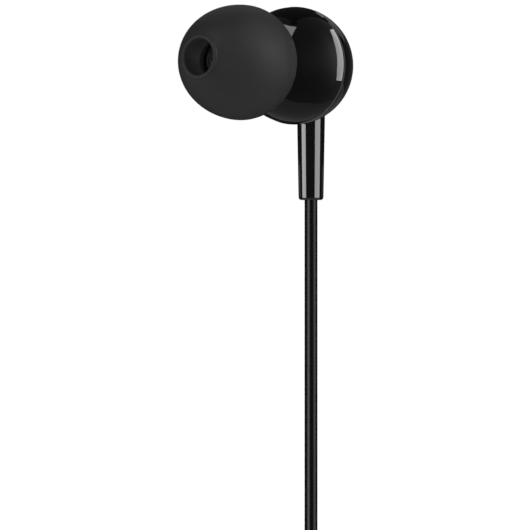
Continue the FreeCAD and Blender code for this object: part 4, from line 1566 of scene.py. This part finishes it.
@dataclass(frozen=True)
class Plug:
    """Strain relief, moulded grip and contacts of the plug, all turned about one upright line."""

    sides: int = 96
    relief_end_r: float = 1.45
    relief_base_r: float = 2.10
    relief_first: float = 0.02
    relief_start: float = 0.05
    relief_round: float = 0.25
    relief_rings: int = 160
    relief_grooves: Grooves = Grooves(6.0, 0.20, 2.2, 0.10, 0.93)
    grip_r: float = 3.00
    grip_length: float = 14.00
    grip_round: float = 0.80
    grip_foot: float = 0.30
    grip_waist: float = 0.16
    grip_rings: int = 140
    grip_grooves: Grooves = Grooves(11.0, 0.13, 3.0, 0.62, 0.93)
    flange_r: float = 2.25
    flange_thick: float = 0.40
    flange_fit: float = 0.03
    flange_sunk: float = 0.02
    plug_r: float = 1.75
    edge: float = 0.05
    sleeve_length: float = 6.10
    band: float = 0.60
    band_inset: float = 0.015
    ring_length: float = 2.30
    tip_length: float = 4.40
    tip_shank: float = 2.42
    neck_r: float = 1.20
    bulb_r: float = 1.72
    bulb_round: float = 0.22
    bulb_above: float = 0.08
    bulb_below: float = 0.10
    nose_r: float = 0.55
    nose_round: float = 0.12
    nose_height: float = 0.30
    nose_share: float = 0.86

    def piece(self, part: str, outlines: Sequence[Outline], finish: Finish, slot: str,
              node: str) -> bpy.types.Object:
        """Turn sections about the plug's line and make them one piece.

        Args:
            part: The piece's name without the plug's.
            outlines: Its sections.
            finish: What it is made of.
            slot: The record's slot for that; not used.
            node: The node that it stands for.

        Returns:
            The piece's object.
        """
        line = np.array([0.0, LAYOUT.plug_line, 0.0])
        surfaces = [turned(outline, UPWARD, self.sides, line, Ends.OPEN) for outline in outlines]
        return Piece(f"plug_{part}", surfaces, finish, slot, (node,)).make()

    def relief(self, low: float) -> Outline:
        """Section of the strain relief, which flares towards the grip and has ring grooves.

        Args:
            low: Height of its thick end.

        Returns:
            The section.
        """
        top, lead_r = LAYOUT.plug_top, LAYOUT.main_d / 2
        outline = Outline(lead_r, top - LAYOUT.relief_length / 2).line(lead_r, top - self.edge)
        outline.line(lead_r + self.edge, top)
        share = np.linspace(self.relief_first, 1, self.relief_rings)
        flare = self.relief_end_r + (self.relief_base_r - self.relief_end_r) * share
        start = np.clip(share / self.relief_start, 0, 1)
        radius = flare - self.relief_grooves.cut(share) - self.relief_round * (1 - start) ** 2
        outline.rows.append(np.stack([radius, top - LAYOUT.relief_length * share], -1))
        return outline.line(0, low)

    def grip(self, high: float, low: float) -> Outline:
        """Section of the grip: rounded top, a waist that is a sine squared, ring grooves and the flange's seat.

        Args:
            high: Height of its top.
            low: Height of its lower end.

        Returns:
            The section.
        """
        soft, seat_r = self.grip_round, self.flange_r + self.flange_fit
        outline = Outline(0, high).line(self.grip_r - soft, high)
        outline.arc((self.grip_r - soft, high - soft), (soft, soft), 90, 0, 10)
        share = np.linspace(0, 1, self.grip_rings)
        radius = self.grip_r - self.grip_waist * np.sin(math.pi * share) ** 2 - self.grip_grooves.cut(share)
        height = high - soft - share * (self.grip_length - soft - self.grip_foot)
        outline.rows.append(np.stack([radius, height], -1))
        outline.line(self.grip_r - self.grip_foot, low).line(seat_r, low)
        return outline.line(seat_r, low + self.flange_thick).line(0, low + self.flange_thick)

    def entry(self, high: float) -> Outline:
        """Start of a contact's section: a flat end and a fine bevel."""
        bevel = self.edge / 2
        return Outline(0, high).line(self.plug_r - bevel, high).line(self.plug_r, high - bevel)

    def closed(self, outline: Outline, low: float) -> Outline:
        """End of a contact's section: the straight shaft, a fine bevel and a flat end."""
        bevel = self.edge / 2
        return outline.line(self.plug_r, low + bevel).line(self.plug_r - bevel, low).line(0, low)

    def sleeve(self, flange_low: float, low: float) -> Outline:
        """Section of the sleeve contact: its flange in the grip's end, and its shaft.

        Args:
            flange_low: Height of the flange's lower face.
            low: Height of the shaft's lower end.

        Returns:
            The section.
        """
        high = flange_low + 2 * self.flange_thick - self.flange_sunk
        outline = Outline(0, high).line(self.flange_r, high)
        outline.line(self.flange_r, flange_low + self.edge).line(self.flange_r - self.edge, flange_low)
        outline.line(self.plug_r + self.edge, flange_low).line(self.plug_r, flange_low - self.edge)
        return self.closed(outline, low)

    def tip(self, high: float) -> Outline:
        """Section of the tip contact: shank, neck, bulb and a nose that ends in an arc.

        Args:
            high: Height of its upper end.

        Returns:
            The section.
        """
        bulb = high - self.tip_shank
        low = high - self.tip_length
        outline = self.entry(high).line(self.plug_r, high - self.band / 2).line(self.neck_r, (high + bulb) / 2, 6)
        outline.line(self.bulb_r - self.bulb_above, bulb + self.bulb_round, 4).line(self.bulb_r, bulb)
        outline.line(self.bulb_r - self.bulb_below, bulb - self.bulb_round)
        nose_r = self.nose_r + self.nose_round
        outline.line(nose_r, bulb + (low - bulb) * self.nose_share, 8)
        return outline.arc((0, low + self.nose_height), (nose_r, self.nose_height), 0, -90, 8)

    def insulator(self, high: float) -> Outline:
        """Section of a ring between two contacts, a little inside their surface."""
        radius = self.plug_r - self.band_inset
        return Outline(0, high).line(radius, high).line(radius, high - self.band).line(0, high - self.band)

    def build(self) -> list[bpy.types.Object]:
        """Make the plug's pieces from the top down.

        Returns:
            The six objects.
        """
        low = LAYOUT.plug_top - LAYOUT.relief_length
        grip_low = low - self.grip_length
        flange_low = grip_low - self.flange_thick
        sleeve_low = flange_low - self.sleeve_length
        ring_high = sleeve_low - self.band
        ring_low = ring_high - self.ring_length
        ring = self.closed(self.entry(ring_high), ring_low)
        insulators = [self.insulator(high) for high in (sleeve_low, ring_low)]
        return [
            self.piece("relief_sleeve", [self.relief(low)], SOFT_MOULDING, "soft_moulding", "plug_relief"),
            self.piece("grip_barrel", [self.grip(low, grip_low)], GRIP, "grip", "plug_grip"),
            self.piece("sleeve_contact", [self.sleeve(flange_low, sleeve_low)], GOLD, "plug_gold", "plug_sleeve"),
            self.piece("ring_contact", [ring], GOLD, "plug_gold", "plug_ring"),
            self.piece("tip_contact", [self.tip(ring_low - self.band)], GOLD, "plug_gold", "plug_tip"),
            self.piece("band_rings", insulators, INSULATOR, "insulator", "plug_insulators"),
        ]


@dataclass(frozen=True)
class Card:
    """A glowing card in a direction from the housing: an outline of directions, each a turn and a rise in degrees.

    The turn is measured from the direction to the camera towards the right of the picture. The strength is one
    number or one for each corner.
    """

    name: str
    outline: tuple[tuple[float, float], ...]
    strength: Union[float, tuple[float, ...]]
    distance: float = 400.0


@dataclass(frozen=True)
class Glow:
    """A soft-edged glow between two turns and two rises, brightest at its centre, in degrees."""

    name: str
    turns: tuple[float, float]
    rises: tuple[float, float]
    centre: tuple[float, float]
    fade: tuple[float, float]
    base: float
    peak: float
    distance: float = 450.0
    steps: int = 44

    def level(self, turn: Array, rise: Array) -> Array:
        """Strength in a direction: base plus peak times e to the minus of how far aside it is and how far above.

        The first distance is taken over its fade, and the second over its fade and squared.

        Args:
            turn: Turns in degrees.
            rise: Rises in degrees.

        Returns:
            The strengths.
        """
        aside = np.abs(turn - self.centre[0]) / self.fade[0]
        above = ((rise - self.centre[1]) / self.fade[1]) ** 2
        return self.base + self.peak * np.exp(-aside - above)


@dataclass(frozen=True)
class Softbox:
    """A flat rectangular light that faces a centre: its turn, rise and half widths seen from there, in degrees.

    The strength is the brightness of its face, and the centre and distance are in millimetres.
    """

    name: str
    turn: float
    rise: float
    half: tuple[float, float]
    strength: float
    centre: Triple = (0.0, 0.0, 0.0)
    distance: float = 300.0


@dataclass(frozen=True)
class Studio:
    """Camera, floor, backdrop and light."""

    azimuth: float = 29.8
    distance: float = 600.0
    scale: float = 9.41
    picture: float = 530.0
    housing_px: tuple[float, float] = (294.0, 65.4)
    sensor: float = 36.0
    clip: tuple[float, float] = (0.01, 20.0)
    fill: float = 0.02
    floor_r: float = 900.0
    floor_low: float = -151.5
    floor_sides: int = 96
    floor_fleck: float = 30.0
    floor_roughness: float = 0.8
    floor_sun: float = 3.1
    sun_spread: float = 25.0
    mouth_depth: float = 3.1
    mouth_lamp_r: float = 0.5

    @property
    def towards(self) -> Array:
        """Direction from the object to the camera, which is level."""
        turn = math.radians(self.azimuth)
        return np.array([math.sin(turn), -math.cos(turn), 0.0])

    @property
    def right(self) -> Array:
        """Direction that is to the right in the picture."""
        turn = math.radians(self.azimuth)
        return np.array([math.cos(turn), math.sin(turn), 0.0])

    def camera(self) -> None:
        """Level camera with a long lens, aimed so that the housing falls where the photograph has it."""
        middle = self.picture / 2
        aside = (self.housing_px[0] - middle) / self.scale
        above = (middle - self.housing_px[1]) / self.scale
        target = -aside * self.right + np.array([0, 0, -above])
        data = bpy.data.cameras.new("camera")
        data.sensor_width = self.sensor
        data.lens = self.sensor * self.distance * self.scale / self.picture
        data.clip_start, data.clip_end = self.clip
        camera = placed("camera", data)
        camera.location = in_part(target + self.distance * self.towards)
        self.turn_to(camera, -self.towards, "-Z")
        bpy.context.scene.camera = camera

    @staticmethod
    def turn_to(item: bpy.types.Object, direction: Array, axis: str) -> None:
        """Turn a camera or light so that one of its axes points in a direction, with its own Y upwards."""
        item.rotation_mode = "QUATERNION"
        item.rotation_quaternion = Vector(direction).to_track_quat(axis, "Y")

    def backdrop(self) -> None:
        """White behind the object as the camera sees it, and a dim even light from everywhere else."""
        world = bpy.data.worlds.new("backdrop")
        nodes = Nodes(world)
        white = (1.0, 1.0, 1.0, 1.0)
        rays = nodes.add("ShaderNodeLightPath", output="Is Camera Ray")
        seen = nodes.add("ShaderNodeBackground", {}, {"Color": white})
        fill = nodes.add("ShaderNodeBackground", {}, {"Color": white, "Strength": self.fill})
        mixed = nodes.add("ShaderNodeMixShader", {}, {0: rays, 1: fill, 2: seen})
        nodes.node("ShaderNodeOutputWorld", {}, {"Surface": mixed})
        bpy.context.scene.world = world

    def floor(self) -> None:
        """Round pale floor under the object, far below the photograph's view, with a light of its own."""
        turn = np.linspace(0, 2 * math.pi, self.floor_sides, endpoint=False)
        rings = np.array([0.0, 0.5, 1.0])[:, None] * self.floor_r
        across, along = rings * np.cos(turn), rings * np.sin(turn)
        grid = np.stack([across, along, np.full(across.shape, self.floor_low)], -1)
        mesh = bpy.data.meshes.new("floor")
        mesh.from_pydata(in_part(grid).reshape(-1, 3).tolist(), [], Surface(grid, Ends.OPEN).faces(0))
        Piece.close_poles(mesh)
        paint = Paint("floor_paint")
        colour = paint.tint(paint.noise(self.floor_fleck, detail=3.0), grey(0.80), grey(0.86))
        mesh.materials.append(paint.surface(colour, self.floor_roughness))
        floor = placed("floor", mesh)
        floor.visible_glossy = False
        sun = self.lamp("floor_light", "SUN", self.floor_sun, [floor])
        sun.data.angle = math.radians(self.sun_spread)

    def place_of(self, turn: float, rise: float, distance: float) -> Array:
        """Point in a direction from the housing.

        It is the distance times the sine and cosine of the turn along the picture's right and towards the camera,
        both times the cosine of the rise, and the sine of the rise upwards.

        Args:
            turn: Angle to the right in degrees.
            rise: Angle upwards in degrees.
            distance: Distance from the housing's middle.

        Returns:
            The point.
        """
        a, e = math.radians(turn), math.radians(rise)
        flat = math.cos(e)
        return distance * (math.sin(a) * flat * self.right + math.cos(a) * flat * self.towards
                           + np.array([0, 0, math.sin(e)]))

    @staticmethod
    def light_only(light: bpy.types.Object, receivers: Sequence[bpy.types.Object]) -> None:
        """Let a light reach only the given pieces.

        Args:
            light: The lamp or the glowing mesh.
            receivers: The pieces.
        """
        group = bpy.data.collections.new(light.name)
        for piece in receivers:
            group.objects.link(piece)
        light.light_linking.receiver_collection = group

    def lamp(self, name: str, kind: str, energy: float, receivers: Sequence[bpy.types.Object]) -> bpy.types.Object:
        """Make a lamp of a kind that only the given pieces catch.

        Args:
            name: Its name.
            kind: Blender's name for its kind.
            energy: Its power.
            receivers: The pieces that it lights.

        Returns:
            The lamp's object.
        """
        data = bpy.data.lights.new(name, kind)
        data.energy = energy
        lamp = placed(name, data)
        self.light_only(lamp, receivers)
        return lamp

    def glowing(self, name: str, points: Array, faces: Sequence[Sequence[int]], level: Array,
                receivers: Sequence[bpy.types.Object]) -> None:
        """Make a glowing mesh that the camera doesn't see and that only the given pieces catch.

        Args:
            name: Its name.
            points: Its points in the right housing's frame.
            faces: Its faces.
            level: Strength at each point.
            receivers: The pieces that it lights.
        """
        mesh = bpy.data.meshes.new(name)
        mesh.from_pydata(in_part(points).tolist(), [], list(faces))
        mesh.attributes.new("level", "FLOAT", "POINT").data.foreach_set("value", level.astype(np.float32))
        material = bpy.data.materials.new(name)
        nodes = Nodes(material)
        strength = nodes.add("ShaderNodeAttribute", {"attribute_name": "level"}, output="Fac")
        shader = nodes.add("ShaderNodeEmission", {}, {"Strength": strength})
        nodes.node("ShaderNodeOutputMaterial", {}, {"Surface": shader})
        mesh.materials.append(material)
        made = placed(name, mesh)
        made.visible_camera = False
        made.visible_shadow = False
        self.light_only(made, receivers)

    def card(self, card: Card, receivers: Sequence[bpy.types.Object]) -> None:
        """Make a card as a fan of triangles about its middle, whose strength is the mean of its corners'.

        Args:
            card: Its outline and strength.
            receivers: The pieces that it lights.
        """
        corners = np.array([self.place_of(turn, rise, card.distance) for turn, rise in card.outline])
        count = len(corners)
        fan = [[index, (index + 1) % count, count] for index in range(count)]
        level = np.broadcast_to(card.strength, count)
        points = np.vstack([corners, corners.mean(0)])
        self.glowing(card.name, points, fan, np.append(level, level.mean()), receivers)

    def glow(self, glow: Glow, receivers: Sequence[bpy.types.Object]) -> None:
        """Make a soft glow as a grid of directions.

        Args:
            glow: Its reach and strength.
            receivers: The pieces that it lights.
        """
        steps = glow.steps
        turns = np.linspace(*glow.turns, steps)
        rises = np.linspace(*glow.rises, steps)
        points = np.array([self.place_of(turn, rise, glow.distance) for rise in rises for turn in turns])
        grid = np.arange(steps * steps).reshape(steps, steps)
        faces = np.stack([grid[:-1, :-1], grid[:-1, 1:], grid[1:, 1:], grid[1:, :-1]], -1).reshape(-1, 4)
        level = glow.level(np.tile(turns, steps), np.repeat(rises, steps))
        self.glowing(glow.name, points, faces.tolist(), level, receivers)

    def softbox(self, box: Softbox, receivers: Sequence[bpy.types.Object]) -> None:
        """Make a rectangular area light, whose power is its face's brightness times pi and its area.

        Args:
            box: Its place, size and brightness.
            receivers: The pieces that it lights.
        """
        width, height = (2 * box.distance * math.tan(math.radians(value)) * MILLIMETRE for value in box.half)
        light = self.lamp(box.name, "AREA", box.strength * math.pi * width * height, receivers)
        light.data.shape = "RECTANGLE"
        light.data.size, light.data.size_y = width, height
        direction = self.place_of(box.turn, box.rise, 1.0)
        light.location = in_part(np.array(box.centre) + box.distance * direction)
        self.turn_to(light, direction, "Z")

    def mouth_lamp(self, ear: Earpiece, power: float, piece: bpy.types.Object) -> None:
        """Put a faint lamp inside a tip's mouth, so that its depth shows.

        Args:
            ear: The earpiece.
            power: The lamp's power.
            piece: The one piece that it lights; only the mesh shows its gloss.
        """
        lamp = self.lamp(f"{piece.name}_mouth_lamp", "POINT", power, [piece])
        lamp.data.shadow_soft_size = self.mouth_lamp_r * MILLIMETRE
        place = LAYOUT.seat + (ear.tip_front - self.mouth_depth) * LAYOUT.nozzle
        lamp.location = in_part(on_side(place, ear.side))
        lamp.visible_camera = False
        lamp.visible_glossy = piece.name.endswith("mesh")


STEM_MIDDLE = (0.0, LAYOUT.stem_back, -60.0)
STEM_MOUTH = (0.0, LAYOUT.stem_back, -13.4)
TIP_MIDDLE = (-5.0, -8.5, 0.0)
STEM_BOXES = (
    Softbox("stem_left", -66.6, 0, (19.4, 16), 8.4, STEM_MIDDLE),
    Softbox("stem_right", 58.5, 0, (24.6, 16), 6.8, STEM_MIDDLE),
    Softbox("stem_edge_left", -122.0, 0, (9, 4), 0.42, STEM_MOUTH, 40.0),
    Softbox("stem_edge_right", 126.0, 0, (9, 4), 0.26, STEM_MOUTH, 40.0),
)
CORD_BOXES = (
    Softbox("cord_left", -47.0, 0, (15.0, 43), 2.9, STEM_MIDDLE),
    Softbox("cord_right", 67.0, 0, (19.0, 43), 1.55, STEM_MIDDLE),
)
HANGING_BOXES = (
    Softbox("hanging_under", 0, -90, (70, 70), 0.35, (0.0, 0.0, -60.0), 200.0),
    Softbox("hanging_back", 180, 50, (28, 18), 2.0, STEM_MIDDLE, 400.0),
)
TIP_BOXES = tuple(Softbox(f"tip_{name}", turn, rise, (half, half), strength, TIP_MIDDLE, 320.0)
                  for name, turn, rise, half, strength in (
    ("left", -80.0, 0.0, 20, 1.24),
    ("front", 0.0, 0.0, 20, 0.345),
    ("side", 80.0, 0.0, 20, 0.99),
    ("upper_left", -50.0, 45.0, 22, 0.97),
    ("upper_right", 50.0, 45.0, 22, 0.73),
    ("upper_side", 100.0, 45.0, 22, 0.39),
    ("upper_back", 180.0, 45.0, 22, 0.23),
    ("key", 72.0, 20.0, 13, 1.89),
))
REAR_BOXES = tuple(Softbox(name, turn, rise, half, strength, distance=100.0)
                   for name, turn, rise, half, strength in (
    ("seam_line", 20.0, 0, (14, 64), 1.3),
    ("seam_under", -30.0, -80.0, (20, 20), 1.3),
    ("rear_upper", 160.0, 27.0, (20, 8), 0.26),
    ("rear_side", 138.0, 0.0, (24, 20), 0.05),
    ("rear_lower", 150.0, -35.0, (28, 18), 0.14),
))
SHELL_BOXES = (Softbox("shell_far", -135.0, 12.0, (22, 22), 2.0),)
SHELL_SIDE = Card(
    "shell_side",
    ((126.6, 39.2), (119.3, 38.2), (104.7, 30.2), (97.3, 17.9), (94.6, 4.7), (94.3, -6.0), (99.8, -18.8),
     (119.7, -14.7), (127.7, 4.8), (138.1, 15.3), (145.4, 28.6), (133.9, 35.0)),
    (3.8, 3.8, 3.9, 4.4, 5.0, 4.8, 4.0, 4.4, 6.4, 5.4, 4.4, 4.0))
SHELL_TOP = Card(
    "shell_top",
    ((-129.4, 53.5), (-81.2, 77.0), (-38.0, 80.0), (19.1, 78.4), (-5.2, 60.8), (-14.0, 36.7), (-49.4, 28.1),
     (-118.7, 44.2)),
    3.6)
SHELL_LOW = Card(
    "shell_low",
    ((-82.7, -52.5), (-40.4, -67.5), (80.7, -69.3), (125.9, -37.8), (138.0, -21.8), (165, -25), (180, -30),
     (-150, -30), (-110, -40)),
    (0.26, 0.26, 0.22, 0.13, 0.10, 0.13, 0.20, 0.26, 0.26), 430.0)
SHELL_GLOW = Glow("shell_glow", (-150, 150), (-78, 85), (90, 12), (30, 28), 0.09, 0.50)
MOUTH_POWERS = (0.000035, 0.0006, 0.00022)


def light_up(studio: Studio, ears: Mapping[Side, Dressed], nodes: Mapping[str, bpy.types.Object],
             hanging: Sequence[bpy.types.Object]) -> None:
    """Make every light, each for its own pieces, and keep what hangs and the left earpiece out of reflections.

    Args:
        studio: The studio.
        ears: The surfaces of both earpieces.
        nodes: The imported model's nodes by name.
        hanging: The leads and the pieces on them.
    """
    def pair(part: str) -> list[bpy.types.Object]:
        """The node of a name in both earpieces."""
        return [nodes[f"{side.value}_{part}"] for side in Side]

    both = list(ears.values())
    left = [node for name, node in nodes.items() if name.startswith(Side.LEFT.value)]
    stems = [ear.stem for ear in both]
    fronts = [ear.front for ear in both]
    housings = [piece for ear in both for piece in ear.housing]
    hanging = [*hanging, *pair("cable_grommet")]
    for piece in [*stems, *hanging, *pair("cable_knot"), ears[Side.LEFT].tip, *ears[Side.LEFT].housing, *left]:
        piece.visible_glossy = False
    for boxes, pieces in ((STEM_BOXES, stems), (CORD_BOXES, hanging), (HANGING_BOXES, stems + hanging),
                          (TIP_BOXES, [ear.tip for ear in both] + pair("nozzle_mesh")),
                          (REAR_BOXES, [piece for ear in both for piece in (ear.rear, ear.disc)]),
                          (SHELL_BOXES, housings)):
        for box in boxes:
            studio.softbox(box, pieces)
    for side, ear in ears.items():
        for piece, power in zip((ear.tip, ear.front, nodes[f"{side.value}_nozzle_mesh"]), MOUTH_POWERS):
            studio.mouth_lamp(Earpiece(side), power, piece)
    studio.card(SHELL_SIDE, fronts)
    studio.card(SHELL_TOP, housings)
    studio.card(SHELL_LOW, fronts)
    studio.glow(SHELL_GLOW, fronts)


def main() -> None:
    """Load the model, then make the camera, the leads, every sub-assembly and the light."""
    logging.basicConfig(level=logging.INFO, format="%(message)s")
    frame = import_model()
    for default in [item for item in bpy.data.objects if item.type in ("LIGHT", "CAMERA")]:
        bpy.data.objects.remove(default)
    bpy.context.scene.view_settings.view_transform = "Standard"
    nodes = frame["nodes"]
    studio = Studio()
    studio.camera()
    leads = Leads().build()
    ears = {side: Earpiece(side).build(nodes) for side in Side}
    splitter, tie, plug = Splitter().build(), Tie().build(), Plug().build()
    studio.backdrop()
    studio.floor()
    light_up(studio, ears, nodes, [*leads.values(), splitter, tie, *plug])


if __name__ == "__main__":
    main()
